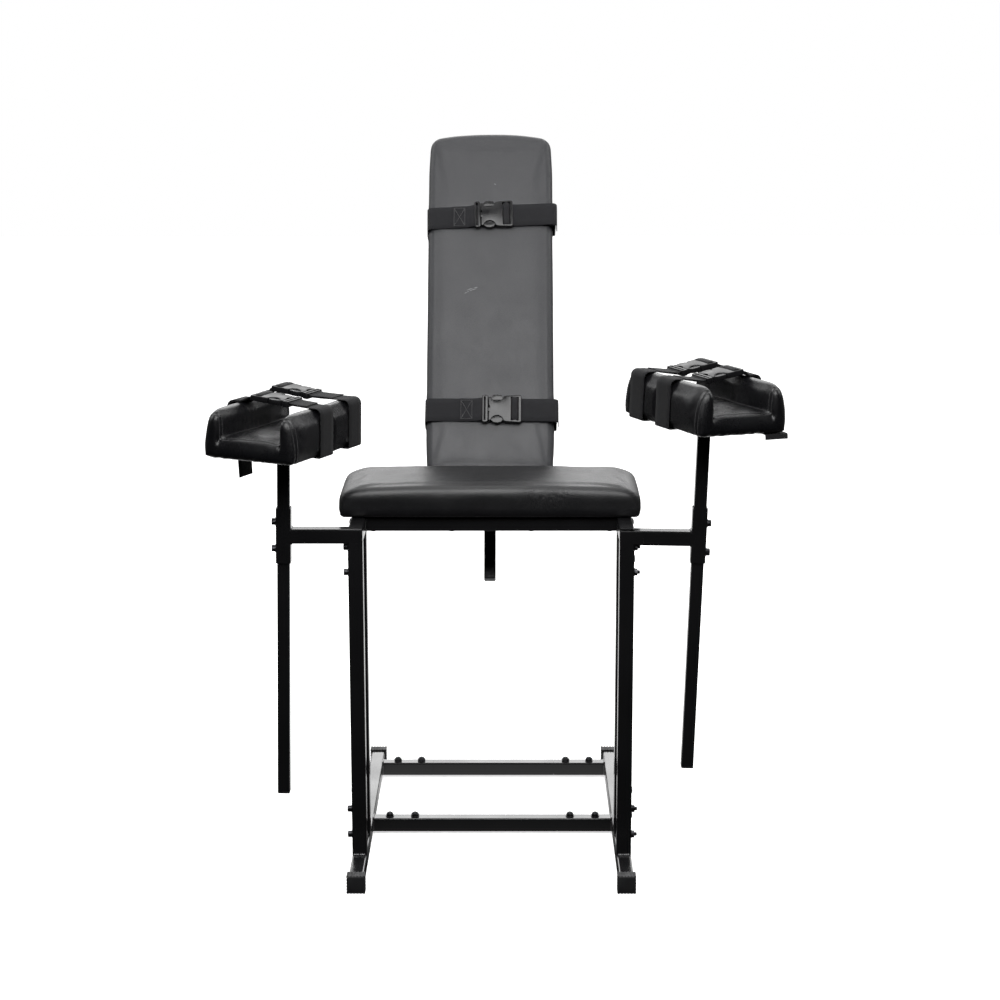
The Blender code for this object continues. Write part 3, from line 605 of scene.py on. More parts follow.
def band(path, width, thick, side_shift=None, ripple=0.0, seed=0, flare=None):
    """A strip of webbing along a path (x, z), width along Y, with a map named band."""
    half, t = width / 2, thick / 2
    section = [(-half, -t * 0.35), (-half + 0.0007, -t), (-half * 0.5, -t), (0, -t), (half * 0.5, -t), (half - 0.0007, -t),
               (half, -t * 0.35), (half, t * 0.35), (half - 0.0007, t), (half * 0.5, t), (0, t), (-half * 0.5, t),
               (-half + 0.0007, t), (-half, t * 0.35)]
    k = len(section)
    bm = bmesh.new()
    uv = bm.loops.layers.uv.new("band")
    rows, along, s = [], [], 0.0
    for i, p in enumerate(path):
        a, b = path[max(i - 1, 0)], path[min(i + 1, len(path) - 1)]
        d = (b - a).normalized()
        n = Vector((-d.y, d.x))
        if i:
            s += (p - path[i - 1]).length
        shift = side_shift(p, s) if side_shift else 0.0
        wave = ripple * noise.noise(Vector((s * 28.0, seed * 3.1, 0.0)))
        row = []
        for y, h in section:
            scale = 1.0
            if flare:
                scale = flare(p, s)
            cup = wave * (y / half)
            q = p + n * (h + cup)
            row.append(bm.verts.new((q.x, y * scale + shift, q.y)))
        rows.append(row)
        along.append(s)
    for i in range(len(rows) - 1):
        for j in range(k):
            a, b, c, d = rows[i][j], rows[i][(j + 1) % k], rows[i + 1][(j + 1) % k], rows[i + 1][j]
            f = bm.faces.new((a, b, c, d))
            vs = [section[j][0], section[(j + 1) % k][0], section[(j + 1) % k][0], section[j][0]]
            us = [along[i], along[i], along[i + 1], along[i + 1]]
            for loop, uu, vv in zip(f.loops, us, vs):
                loop[uv].uv = (uu, vv + 0.2)
    for row in (list(reversed(rows[0])), rows[-1]):
        f = bm.faces.new(row)
        for loop in f.loops:
            loop[uv].uv = (0.0, loop.vert.co.y + 0.2)
    bmesh.ops.recalc_face_normals(bm, faces=bm.faces)
    return to_mesh(bm, "band")


def capsule(length, radius, sides=6):
    bm = bmesh.new()
    rings = []
    for x, r in ((-length / 2, 0.0), (-length / 2 + radius * 0.3, radius * 0.75), (-length / 2 + radius, radius),
                 (length / 2 - radius, radius), (length / 2 - radius * 0.3, radius * 0.75), (length / 2, 0.0)):
        if r == 0.0:
            rings.append([bm.verts.new((x, 0, 0))])
        else:
            rings.append([bm.verts.new((x, r * math.cos(2 * math.pi * i / sides), r * math.sin(2 * math.pi * i / sides)))
                          for i in range(sides)])
    for a, b in zip(rings, rings[1:]):
        for i in range(sides):
            j = (i + 1) % sides
            if len(a) == 1:
                bm.faces.new((a[0], b[i], b[j]))
            elif len(b) == 1:
                bm.faces.new((a[i], b[0], a[j]))
            else:
                bm.faces.new((a[i], b[i], b[j], a[j]))
    bmesh.ops.recalc_face_normals(bm, faces=bm.faces)
    return to_mesh(bm, "capsule")


STITCH = capsule(0.0037, 0.00060)


def stitch_run(points, normals, pitch=0.0050, lift=0.0002, mesh=None):
    """(mesh, matrix) for stitches that lie along a line of points with normals."""
    out, s, nxt = [], 0.0, pitch / 2
    for i in range(len(points) - 1):
        a, b = points[i], points[i + 1]
        seg = (b - a).length
        while seg > 1e-9 and nxt <= s + seg:
            t = (nxt - s) / seg
            p = a.lerp(b, t)
            n = normals[i].lerp(normals[i + 1], t).normalized()
            x = (b - a).normalized()
            y = n.cross(x).normalized()
            z = x.cross(y)
            m = Matrix((x, y, z)).transposed().to_4x4()
            m.translation = p + n * lift
            out.append((mesh or STITCH, m))
            nxt += pitch
        s += seg
    return out


def surface(ob_mesh):
    bm = bmesh.new()
    bm.from_mesh(ob_mesh)
    tree = BVHTree.FromBMesh(bm)
    bm.free()
    return tree


def on_surface(tree, points):
    """Each point moved to the nearest place on a surface, with its normal."""
    ps, ns = [], []
    for p in points:
        co, no, _, _ = tree.find_nearest(p)
        ps.append(co)
        ns.append(no)
    return ps, ns


# ---------------------------------------------------------- padded pieces
def remeshed(mesh, voxel):
    ob = bpy.data.objects.new("remesh", mesh)
    scene.collection.objects.link(ob)
    mod = ob.modifiers.new("remesh", "REMESH")
    mod.mode = "VOXEL"
    mod.voxel_size = voxel
    dg = bpy.context.evaluated_depsgraph_get()
    dg.update()
    out = bpy.data.meshes.new_from_object(ob.evaluated_get(dg))
    bpy.data.objects.remove(ob, do_unlink=True)
    return out


def relaxed(mesh, rounds, keep=None):
    """Laplacian smoothing by hand, leaving the vertices that keep() names."""
    bm = bmesh.new()
    bm.from_mesh(mesh)
    bm.verts.ensure_lookup_table()
    fixed = [bool(keep and keep(v.co)) for v in bm.verts]
    nbr = [[e.other_vert(v).index for e in v.link_edges] for v in bm.verts]
    co = [v.co.copy() for v in bm.verts]
    for _ in range(rounds):
        new = []
        for i, c in enumerate(co):
            if fixed[i] or not nbr[i]:
                new.append(c)
                continue
            m = Vector()
            for j in nbr[i]:
                m += co[j]
            new.append(c.lerp(m / len(nbr[i]), 0.5))
        co = new
    for v, c in zip(bm.verts, co):
        v.co = c
    return to_mesh(bm, "relaxed")


def inflated(mesh, pin, cap, pressure=4.0):
    """Cloth under pressure, with its movement capped, as a mesh. pin(co) gives 0 to 1."""
    ob = bpy.data.objects.new("cloth", mesh)
    scene.collection.objects.link(ob)
    rest = [v.co.copy() for v in mesh.vertices]
    normals = [v.normal.copy() for v in mesh.vertices]
    group = ob.vertex_groups.new(name="pin")
    for v in mesh.vertices:
        w = pin(v.co)
        if w > 0:
            group.add([v.index], w, "REPLACE")
    mod = ob.modifiers.new("cloth", "CLOTH")
    s = mod.settings
    s.quality = 4
    s.mass = 0.3
    s.use_pressure = True
    s.uniform_pressure_force = pressure
    s.tension_stiffness = s.compression_stiffness = 14.0
    s.shear_stiffness = 8.0
    s.bending_stiffness = 0.9
    s.vertex_group_mass = "pin"
    s.effector_weights.gravity = 0.0
    mod.collision_settings.use_collision = False
    mod.point_cache.frame_start, mod.point_cache.frame_end = 1, 20
    scene.frame_start, scene.frame_end = 1, 20
    for f in range(1, 21):
        scene.frame_set(f)
    dg = bpy.context.evaluated_depsgraph_get()
    out = bpy.data.meshes.new_from_object(ob.evaluated_get(dg))
    for v, r, n in zip(out.vertices, rest, normals):
        d = v.co - r
        inward = d.dot(n)
        if inward < 0:
            d -= n * inward
            d *= 0.3
        if d.length > cap:
            d *= cap / d.length
        v.co = r + d
    bpy.data.objects.remove(ob, do_unlink=True)
    scene.frame_set(1)
    return out


def subdivided(mesh, levels=1):
    ob = bpy.data.objects.new("subsurf", mesh)
    scene.collection.objects.link(ob)
    mod = ob.modifiers.new("subsurf", "SUBSURF")
    mod.levels = mod.render_levels = levels
    dg = bpy.context.evaluated_depsgraph_get()
    dg.update()
    out = bpy.data.meshes.new_from_object(ob.evaluated_get(dg))
    bpy.data.objects.remove(ob, do_unlink=True)
    return out


def shaped(mesh, move):
    """Moves every vertex by move(co, normal), which returns a vector."""
    normals = [v.normal.copy() for v in mesh.vertices]
    for v, n in zip(mesh.vertices, normals):
        v.co = v.co + move(v.co, n)
    mesh.update()
    return mesh


def fitted(mesh, lo, hi):
    """Scaled along each axis so that the mesh just fills a box."""
    a = [min(v.co[i] for v in mesh.vertices) for i in range(3)]
    b = [max(v.co[i] for v in mesh.vertices) for i in range(3)]
    for v in mesh.vertices:
        v.co = [lo[i] + (v.co[i] - a[i]) * (hi[i] - lo[i]) / (b[i] - a[i]) for i in range(3)]
    mesh.update()
    return mesh


def gauss(x, w):
    return math.exp(-(x / w) ** 2)


def ramp(x, a, b):
    """0 at a, 1 at b, smooth between, either way round."""
    t = max(0.0, min(1.0, (x - a) / (b - a)))
    return t * t * (3 - 2 * t)


VOXEL = 0.006

# Seat: crowned foam over a board, the cover pulled down and stapled beneath.
slo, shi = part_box("seat_cushion")
seat_mid = Vector(((slo.x + shi.x) / 2, (slo.y + shi.y) / 2, slo.z))
sx, sy, sz = (shi.x - slo.x) / 2, (shi.y - slo.y) / 2, shi.z - slo.z
inset = 0.0030
seat = remeshed(soft_box((-sx + inset, -sy + inset, 0.0), (sx - inset, sy - inset, sz - inset),
                         lambda x, y, z: (0.034, 0.018, 0.021) if z > 0 else (0.008, 0.008, 0.008)), VOXEL)
seat = inflated(seat, lambda c: 1.0 if c.z < 0.004 else 0.0, 0.0050, 4.0)
seat = fitted(subdivided(relaxed(seat, 2), 1), (-sx, -sy, 0.0), (sx, sy, sz))


def seat_move(c, n):
    out = Vector()
    # the crown of the foam falls away towards the ends and the corners
    fall = 0.0050 * ramp(abs(c.x), 0.10, sx) + 0.0040 * ramp(abs(c.x), sx - 0.075, sx) * ramp(abs(c.y), sy - 0.09, sy)
    out.z += (0.0065 - fall) * ramp(c.z, 0.018, sz)
    out.x -= math.copysign(0.0020, c.x) * ramp(abs(c.x), sx - 0.03, sx) * ramp(c.z, 0.026, sz)
    # sides pull in between the corners, the bottom edge tucks under
    edge = max(abs(c.x) / sx, abs(c.y) / sy)
    wallish = 1.0 - abs(n.z)
    out += n * (-0.0022 * wallish * ramp(0.020 - c.z, 0.0, 0.018))
    # staple puckers along the bottom edge, stronger near the corners
    run = c.x if abs(c.y) / sy > abs(c.x) / sx else c.y
    corner = ramp(min(abs(c.x) / sx, abs(c.y) / sy), 0.72, 0.98)
    wave = noise.noise(Vector((run * 62.0, 3.0 if c.y < 0 else 9.0, c.x * 0.5))) * 0.7 + 0.3 * noise.noise(Vector((run * 150.0, 5.0, 0.0)))
    out += n * (wave * wallish * (0.0011 + 0.0016 * corner) * ramp(0.040 - c.z, 0.0, 0.034))
    if c.z < 0.006:
        out.z += 0.0034 * ramp(0.2925 - abs(c.x), 0.0, 0.006) * ramp(sy - 0.0125 - abs(c.y), 0.0, 0.006)
    # broad softness of the foam
    out += n * (0.0007 * noise.noise(Vector((c.x * 11.0, c.y * 11.0, c.z * 20.0))))
    # a few fine creases in the cover on the right of the front edge
    for x0, z0, slope, length, depth in ((0.118, 0.050, -0.35, 0.030, 0.00075), (0.132, 0.043, -0.20, 0.026, 0.0008),
                                         (0.125, 0.036, -0.30, 0.020, 0.0006), (0.150, 0.048, -0.5, 0.022, 0.0006),
                                         (-0.105, 0.047, 0.25, 0.030, 0.0004), (0.020, 0.051, 0.05, 0.045, 0.0004)):
        dx, dz = c.x - x0, c.z - z0
        a = dx * 1.0 + dz * slope
        b = dz - dx * slope
        if c.y < 0:
            out += n * (-depth * gauss(b, 0.0016) * gauss(a, length) * wallish)
    return out


seat = shaped(seat, seat_move)
seat_ob = piece("seat_pad", seat, Matrix.Translation(seat_mid), "frame", VINYL, ["seat_cushion"], angle=0)
seat.shade_smooth()

# Back pad, in the back's own frame: x across, y to the rear, z up the recline.
BACK_HALF, BACK_FRONT, BACK_REAR, BACK_S = 0.1388, -0.0708, -0.0161, (0.0226, 0.838)
BACK_STRAPS = (("lower", 0.172, 0.0255, rad(-0.5), 0.0), ("upper", 0.632, 0.0075, rad(2.1), 0.0))
inset = 0.0026
back = remeshed(soft_box((-BACK_HALF + inset, BACK_FRONT + inset, BACK_S[0] + inset), (BACK_HALF - inset, BACK_REAR, BACK_S[1] - inset),
                         lambda x, y, z: (0.0195, 0.017, 0.022) if y < 0 else (0.006, 0.006, 0.006)), VOXEL)
back = inflated(back, lambda c: 1.0 if c.y > BACK_REAR - 0.003 else 0.0, 0.0036, 4.0)
back = fitted(subdivided(relaxed(back, 1), 1), (-BACK_HALF, BACK_FRONT, BACK_S[0]), (BACK_HALF, BACK_REAR, BACK_S[1]))
FACE = -BACK_FRONT + 0.0003


def back_move(c, n):
    out = Vector()
    wallish = ramp(abs(n.x) + abs(n.z), 0.5, 0.9)
    # the ends are cut to a shallow arc
    end = ramp(c.z, BACK_S[1] - 0.10, BACK_S[1]) - ramp(c.z, BACK_S[0] + 0.10, BACK_S[0])
    out.z += end * (0.0085 - 0.0150 * (abs(c.x) / BACK_HALF) ** 2.4)
    out.x -= math.copysign(0.0030, c.x) * ramp(abs(c.x), 0.09, BACK_HALF) * abs(end)
    # strap pressure: the pad gives a little under each band
    for _, s, _, slope, _ in BACK_STRAPS:
        d = c.z - (s + math.tan(slope) * c.x)
        press = ramp(0.030 - abs(d), 0.0, 0.006)
        if c.y < BACK_FRONT + 0.012:
            out.y += press * max(0.0, (BACK_FRONT + 0.0012) - c.y)
        out += n * (-0.0012 * press * wallish)
        out += n * (0.0005 * gauss(abs(d) - 0.036, 0.008) * ramp(abs(c.x), 0.09, 0.13))
    run = c.z if abs(n.x) > abs(n.z) else c.x
    wave = noise.noise(Vector((run * 55.0, 2.0 if c.x < 0 else 8.0, 0.0)))
    out += n * (wave * wallish * 0.0010 * ramp(c.y, BACK_REAR - 0.026, BACK_REAR - 0.002))
    out += n * (0.0005 * noise.noise(Vector((c.x * 12.0, 4.0, c.z * 9.0))))
    # behind the board's rear face, so that the board shows inside the hem
    if c.y > BACK_REAR - 0.006:
        under = ramp(0.1225 - abs(c.x), 0.0, 0.006) * ramp(c.z - BACK_S[0] - 0.0100, 0.0, 0.006) * ramp(BACK_S[1] - 0.0100 - c.z, 0.0, 0.006)
        out.y -= 0.0034 * under
    # an old scratch across the face
    a = (c.x + 0.041) * 0.92 + (c.z - 0.456) * 0.39
    b = (c.z - 0.456) * 0.92 - (c.x + 0.041) * 0.39
    if n.y < -0.8:
        out += n * (-0.0004 * gauss(b, 0.0022) * gauss(a, 0.018))
    return out


back = shaped(back, back_move)
back_ob = piece("back_pad", back, BACK, "back_rest", BACK_VINYL_PAINTED_SHEEN, ["back_cushion"], angle=0)
back.shade_smooth()

# Limb rests: a floor and two thick walls, closed by an end panel at each end.
REST_W, REST_L, REST_H, WALL, FLOOR = 0.204, 0.294, 0.095, 0.030, 0.034
REST_STRAPS = {
    "left": (("front", -0.016, -0.0095, 0.1040, rad(5.2)), ("rear", 0.104, -0.0300, 0.1030, rad(7.0))),
    "right": (("front", -0.013, 0.0200, 0.0985, rad(11.0)), ("rear", 0.088, 0.0240, 0.0985, rad(10.5))),
}


PLUMP = 0.0355                             # a wall's thickness with its foam


def trough_mesh():
    w, l, h = REST_W / 2 - 0.0022, REST_L / 2 - 0.0022, REST_H - 0.0022
    parts = []
    for side in (-1, 1):
        lo = (w - PLUMP, -l, 0.0) if side > 0 else (-w, -l, 0.0)
        hi = (w, l, h) if side > 0 else (-w + PLUMP, l, h)

        def corner(x, y, z, side=side):
            if z < 0:
                return (0.006, 0.008, 0.006)
            return (0.0190, 0.040, 0.032) if x == side else (0.0130, 0.040, 0.024)

        parts.append(soft_box(lo, hi, corner))
    floor_part = soft_box((-(w - 0.012), -l + 0.0006, 0.0), (w - 0.012, l - 0.0006, FLOOR + 0.0015),
                          lambda x, y, z: (0.002, 0.015, 0.015) if z > 0 else (0.002, 0.006, 0.006))
    return boolean(floor_part, parts, "UNION")


def rest_shape(tag):
    mesh = remeshed(trough_mesh(), 0.0047)
    mesh = relaxed(mesh, 2)
    mesh = inflated(mesh, lambda c: 1.0 if c.z < 0.006 else (0.65 if abs(abs(c.x) - (REST_W / 2 - PLUMP)) < 0.006 and c.z < FLOOR + 0.006 else 0.0),
                    0.0040, 4.0)
    mesh = fitted(subdivided(relaxed(mesh, 1), 1), (-REST_W / 2, -REST_L / 2, 0.0), (REST_W / 2, REST_L / 2, REST_H))
    wi = REST_W / 2 - PLUMP
    seed = 11.0 if tag == "left" else 23.0

    def move(c, n):
        out = Vector()
        # crease where wall and floor meet
        crease = gauss(abs(c.x) - wi + 0.0005, 0.0035) * gauss(c.z - FLOOR - 0.002, 0.007)
        out += n * (-0.0042 * crease)
        # the board shows underneath
        if c.z < 0.006:
            out.z += 0.0034 * ramp(0.0875 - abs(c.x), 0.0, 0.006) * ramp(0.1325 - abs(c.y), 0.0, 0.006)
        # floor crown
        inside = ramp(wi - abs(c.x), 0.0, 0.03) * ramp(n.z, 0.3, 0.8) * ramp(0.06 - c.z, 0.0, 0.01)
        out.z += 0.0035 * inside
        # end panel seams on walls: a groove with its welt
        for end in (-1, 1):
            d = end * c.y - (REST_L / 2 - 0.013)
            rim = 1.0 if c.z > 0.004 else 0.0
            flat = 1.0 - ramp(abs(n.y), 0.75, 0.95)
            out += n * (rim * flat * (-0.0014 * gauss(d, 0.0015) + 0.0004 * gauss(d + 0.0045, 0.003) + 0.0004 * gauss(d - 0.0045, 0.003)))
        # straps press in, and hold the flanks
        held = 0.0
        for _, ys, _, _, _ in REST_STRAPS[tag]:
            d = c.y - ys
            press = ramp(0.031 - abs(d), 0.0, 0.007)
            held = max(held, ramp(0.037 - abs(d), 0.0, 0.009))
            outer = 1.0 if (abs(c.x) > wi + 0.008 or c.z < 0.01) else 0.0
            out += n * (-0.0005 * press * outer)
        # soft folds of the cover
        p = c * 1.0
        flank = ramp(abs(c.x), wi + 0.010, REST_W / 2)
        out.x += math.copysign(flank * (1.0 - held) * (0.0036 * math.sin(math.pi * max(0.0, min(1.0, c.z / 0.088))) - 0.0012 * ramp(c.z, 0.030, 0.0)), c.x)
        out += n * (0.0009 * noise.noise(Vector((p.x * 26.0 + seed, p.y * 16.0, p.z * 26.0))))
        inner = ramp(wi + 0.004 - abs(c.x), 0.0, 0.006)
        pull = noise.noise(Vector((c.y * 70.0, seed, c.z * 8.0)))
        out += n * (0.0011 * pull * inner * gauss(c.z - 0.046, 0.012))
        tuck = ramp(0.016 - c.z, 0.0, 0.014)
        out += n * (0.0010 * tuck * noise.noise(Vector(((c.x + c.y) * 90.0, seed, 0.0))))
        return out

    return shaped(mesh, move)


REST_MESH = {}
for tag in ("left", "right"):
    mesh = rest_shape(tag)
    ob = piece("rest_pad_" + tag, mesh, HEAD[tag], "rest_" + tag, REST_VINYL_PAINTED_SHADE, ["rest_cushion_" + tag], angle=0)
    mesh.shade_smooth()
    REST_MESH[tag] = mesh


def section_lines(mesh, co, no):
    """The closed lines where a plane cuts a mesh, each as a list of points."""
    bm = bmesh.new()
    bm.from_mesh(mesh)
    cut = bmesh.ops.bisect_plane(bm, geom=bm.verts[:] + bm.edges[:] + bm.faces[:], plane_co=co, plane_no=no, dist=1e-7)
    edges = [e for e in cut["geom_cut"] if isinstance(e, bmesh.types.BMEdge)]
    links = {}
    for e in edges:
        for v in e.verts:
            links.setdefault(v, []).append(e)
    seen, lines = set(), []
    for e in edges:
        if e in seen:
            continue
        seen.add(e)
        line = [e.verts[0], e.verts[1]]
        while True:
            nxt = [x for x in links[line[-1]] if x not in seen]
            if not nxt:
                break
            seen.add(nxt[0])
            line.append(nxt[0].other_vert(line[-1]))
        lines.append([v.co.copy() for v in line])
    bm.free()
    return sorted(lines, key=len, reverse=True)


def tube_line(points, radius, sides=8, closed=False, wobble=0.0, pitch=0.004):
    """A round bead along points."""
    bm = bmesh.new()
    rings = []
    n = len(points)
    up = Vector((0, 0, 1))
    for i, p in enumerate(points):
        a = points[(i - 1) % n] if closed else points[max(i - 1, 0)]
        b = points[(i + 1) % n] if closed else points[min(i + 1, n - 1)]
        d = (b - a).normalized()
        x = d.cross(up)
        if x.length < 1e-3:
            x = d.cross(Vector((0, 1, 0)))
        x.normalize()
        y = d.cross(x).normalized()
        r = radius * (1.0 + wobble * math.sin(i * math.pi / 2.0) + wobble * 0.5 * noise.noise(p * 300.0))
        rings.append([bm.verts.new(p + (x * math.cos(2 * math.pi * j / sides) + y * math.sin(2 * math.pi * j / sides)) * r)
                      for j in range(sides)])
    last = n if closed else n - 1
    for i in range(last):
        for j in range(sides):
            a, b = rings[i], rings[(i + 1) % n]
            bm.faces.new((a[j], a[(j + 1) % sides], b[(j + 1) % sides], b[j]))
    if not closed:
        bm.faces.new(list(reversed(rings[0])))
        bm.faces.new(rings[-1])
    bmesh.ops.recalc_face_normals(bm, faces=bm.faces)
    return to_mesh(bm, "bead")


def even(points, step):
    """Points spaced evenly along a line."""
    out, carry = [points[0]], 0.0
    for a, b in zip(points, points[1:]):
        seg = (b - a).length
        d = step - carry
        while seg > 1e-9 and d <= seg:
            out.append(a.lerp(b, d / seg))
            d += step
        carry = seg - (d - step) if seg > 1e-9 else carry
    return out


# Double stitching beside each end seam, and the piping in the floor crease.
for tag in ("left", "right"):
    mesh = REST_MESH[tag]
    tree = surface(mesh)
    runs = []
    for end in (-1, 1):
        for offset in (0.0092, 0.0168):
            y0 = end * (REST_L / 2 - offset)
            lines = section_lines(mesh, (0, y0, 0), (0, 1, 0))
            if not lines:
                continue
            line = even([p for p in lines[0]], 0.0015)
            line = [p for p in line if p.z > 0.006]
            # the filtered line can jump across the underside: split it there
            chunk = [line[0]]
            for a, b in zip(line, line[1:]):
                if (b - a).length > 0.006:
                    if len(chunk) > 6:
                        ps, ns = on_surface(tree, chunk)
                        runs += stitch_run(ps, ns, pitch=0.0046, lift=0.00022)
                    chunk = []
                chunk.append(b)
            if len(chunk) > 6:
                ps, ns = on_surface(tree, chunk)
                runs += stitch_run(ps, ns, pitch=0.0046, lift=0.00022)
    if runs:
        piece("rest_stitching_" + tag, joined(runs), HEAD[tag], "rest_" + tag, THREAD, angle=50)
    # seam cord lying in the crease between wall and floor
    cords = []
    wi = REST_W / 2 - PLUMP
    for side in (-1, 1):
        guide = [Vector((side * (wi - 0.002), y / 1000.0, FLOOR + 0.004)) for y in range(-128, 129, 4)]
        ps, ns = on_surface(tree, guide)
        line = [p + n * 0.0002 for p, n in zip(ps, ns)]
        smooth_line = []
        for i in range(len(line)):
            a, b = max(0, i - 2), min(len(line), i + 3)
            m = Vector()
            for q in line[a:b]:
                m += q
            smooth_line.append(m / (b - a))
        cords.append((tube_line(smooth_line, 0.0010, 8), Matrix.Identity(4)))
    piece("rest_seam_cord_" + tag, joined(cords), HEAD[tag], "rest_" + tag, WELT, angle=60)

# ------------------------------------------------------------------ buckles
FEMALE_L, MALE_L, BUCKLE_W, BUCKLE_T, WEB_W, WEB_T = 0.0715, 0.0135, 0.066, 0.013, 0.052, 0.0018


def mirror_outline(half):
    """A closed outline from its y>=0 half, which runs from low x to high x."""
    return half + [(x, -y, *rest) for x, y, *rest in reversed(half)]


def diced(mesh, step):
    """Cuts across x and y every step, so that broad faces can be curved."""
    bm = bmesh.new()
    bm.from_mesh(mesh)
    for axis in (0, 1):
        lo = min(v.co[axis] for v in bm.verts)
        hi = max(v.co[axis] for v in bm.verts)
        n = int((hi - lo) / step)
        for i in range(1, n):
            co, no = [0, 0, 0], [0, 0, 0]
            co[axis], no[axis] = lo + (hi - lo) * i / n, 1
            bmesh.ops.bisect_plane(bm, geom=bm.verts[:] + bm.edges[:] + bm.faces[:], plane_co=co, plane_no=no, dist=1e-6)
    return to_mesh(bm, "diced")


def socket_mesh():
    mm = 0.001
    half = [(0.0, 27.0, 2.2), (5.0, 27.2, 1.6), (8.0, 21.5, 3.0), (14.0, 17.4, 6.0), (22.0, 17.0, 6.0), (29.0, 21.0, 3.5), (33.0, 28.6, 3.0),
            (40.0, 30.2, 5.0), (50.0, 30.6, 5.0), (66.0, 31.4, 3.0), (71.5, 30.2, 3.2)]
    outline = fillet(mirror_outline([(x * mm, y * mm, r * mm) for x, y, r in half]), 4)
    shell = diced(prism(outline, -0.0062, 0.0062, 0.0022, 4), 0.0045)
    # crown the broad faces
    for v in shell.vertices:
        c = 0.88 + 0.42 * math.cos(min(1.0, abs(v.co.y) / 0.031) * math.pi / 2) * gauss(v.co.x - 0.024, 0.026)
        v.co.z *= c
    cuts = [rounded_box((0.044, 0.046, 0.0074), 0.0012, 2, (0.0205, 0, 0)),
            rounded_box((0.0062, WEB_W + 0.003, 0.05), 0.0018, 3, (0.0512, 0, 0)),
            rounded_box((0.0058, WEB_W + 0.003, 0.05), 0.0018, 3, (0.0628, 0, 0))]
    # scoop of the mouth in the top and bottom faces
    scoop = lathe([(0.0, -0.02), (0.017, -0.02), (0.017, 0.02), (0.0, 0.02)], 48)
    scoop.transform(Matrix.Translation((-0.0125, 0, 0)))
    mesh = boolean(shell, cuts + [scoop])
    return mesh


def prongs_mesh():
    mm = 0.001
    half = [(-13.5, 30.0, 3.0), (-9.0, 31.4, 2.0), (-3.2, 31.0, 2.2), (-0.6, 27.5, 1.5)]
    outline = fillet(mirror_outline([(x * mm, y * mm, r * mm) for x, y, r in half]), 4)
    block = prism(outline, -0.0062, 0.0062, 0.0024, 4)
    block = boolean(block, [rounded_box((0.0046, WEB_W + 0.003, 0.05), 0.0014, 3, (-0.0080, 0, 0))])
    parts = [(block, Matrix.Identity(4))]
    for side in (-1, 1):
        # spring arm, and the thumb tab that shows in the socket's side notch
        arm = [(-0.002, 15.5, 0.5), (10, 16.5, 4), (14, 14.5, 3), (31, 13.4, 1.0), (34, 16.2, 1.4), (33, 19.8, 1.4), (26, 20.2, 2.0),
               (-0.002, 20.5, 0.5)]
        line = fillet([(x * mm, side * y * mm, r * mm) for x, y, r in arm], 3)
        parts.append((prism(line, -0.0031, 0.0031, 0.0007, 2), Matrix.Identity(4)))
        tab = [(5.0, 19.5, 1.0), (5.6, 26.5, 3.0), (12.0, 31.8, 6.0), (21.0, 32.6, 6.0), (28.5, 30.2, 3.5), (31.8, 25.0, 2.0), (31.0, 19.5, 1.0)]
        line = fillet([(x * mm, side * y * mm, r * mm) for x, y, r in tab], 5)
        parts.append((prism(line, -0.0049, 0.0049, 0.0016, 3), Matrix.Identity(4)))
        for i in range(5):
            x = 0.0105 + i * 0.0042
            parts.append((rounded_box((0.0014, 0.0022, 0.0086), 0.0005, 2, (x, side * (0.0322 - 0.0011 * abs(i - 2)), 0)), Matrix.Identity(4)))
    tongue = fillet([(-0.0005, -0.0060, 0), (0.026, -0.0050, 0.002), (0.030, -0.0028, 0.002), (0.030, 0.0028, 0.002), (0.026, 0.0050, 0.002), (-0.0005, 0.0060, 0)], 3)
    parts.append((prism(tongue, -0.0026, 0.0026, 0.0006, 2), Matrix.Identity(4)))
    return joined(parts)


SOCKET, PRONGS = socket_mesh(), prongs_mesh()
BUCKLE_MID = (FEMALE_L - MALE_L) / 2


def box_stitch(path_fn, x0, x1, half, z, normal_up=True):
    """Rows of stitches for a sewn overlap, as (mesh, matrix), in the band's own plane."""
    runs = []
    up = Vector((0, 0, 1)) if normal_up else Vector((0, 0, -1))
    corners = [(x0, -half), (x1, -half), (x1, half), (x0, half), (x0, -half)]
    lines = [corners, [(x0, -half), (x1, half)], [(x0, half), (x1, -half)]]
    for line in lines:
        pts = []
        for (ax, ay), (bx, by) in zip(line, line[1:]):
            n = max(2, int(math.hypot(bx - ax, by - ay) / 0.002))
            for s in range(n):
                t = s / n
                pts.append(Vector((ax + (bx - ax) * t, ay + (by - ay) * t, z(ax + (bx - ax) * t))))
        pts.append(Vector((line[-1][0], line[-1][1], z(line[-1][0]))))
        runs += stitch_run(pts, [up] * len(pts), pitch=0.0036, lift=0.0001)
    return runs


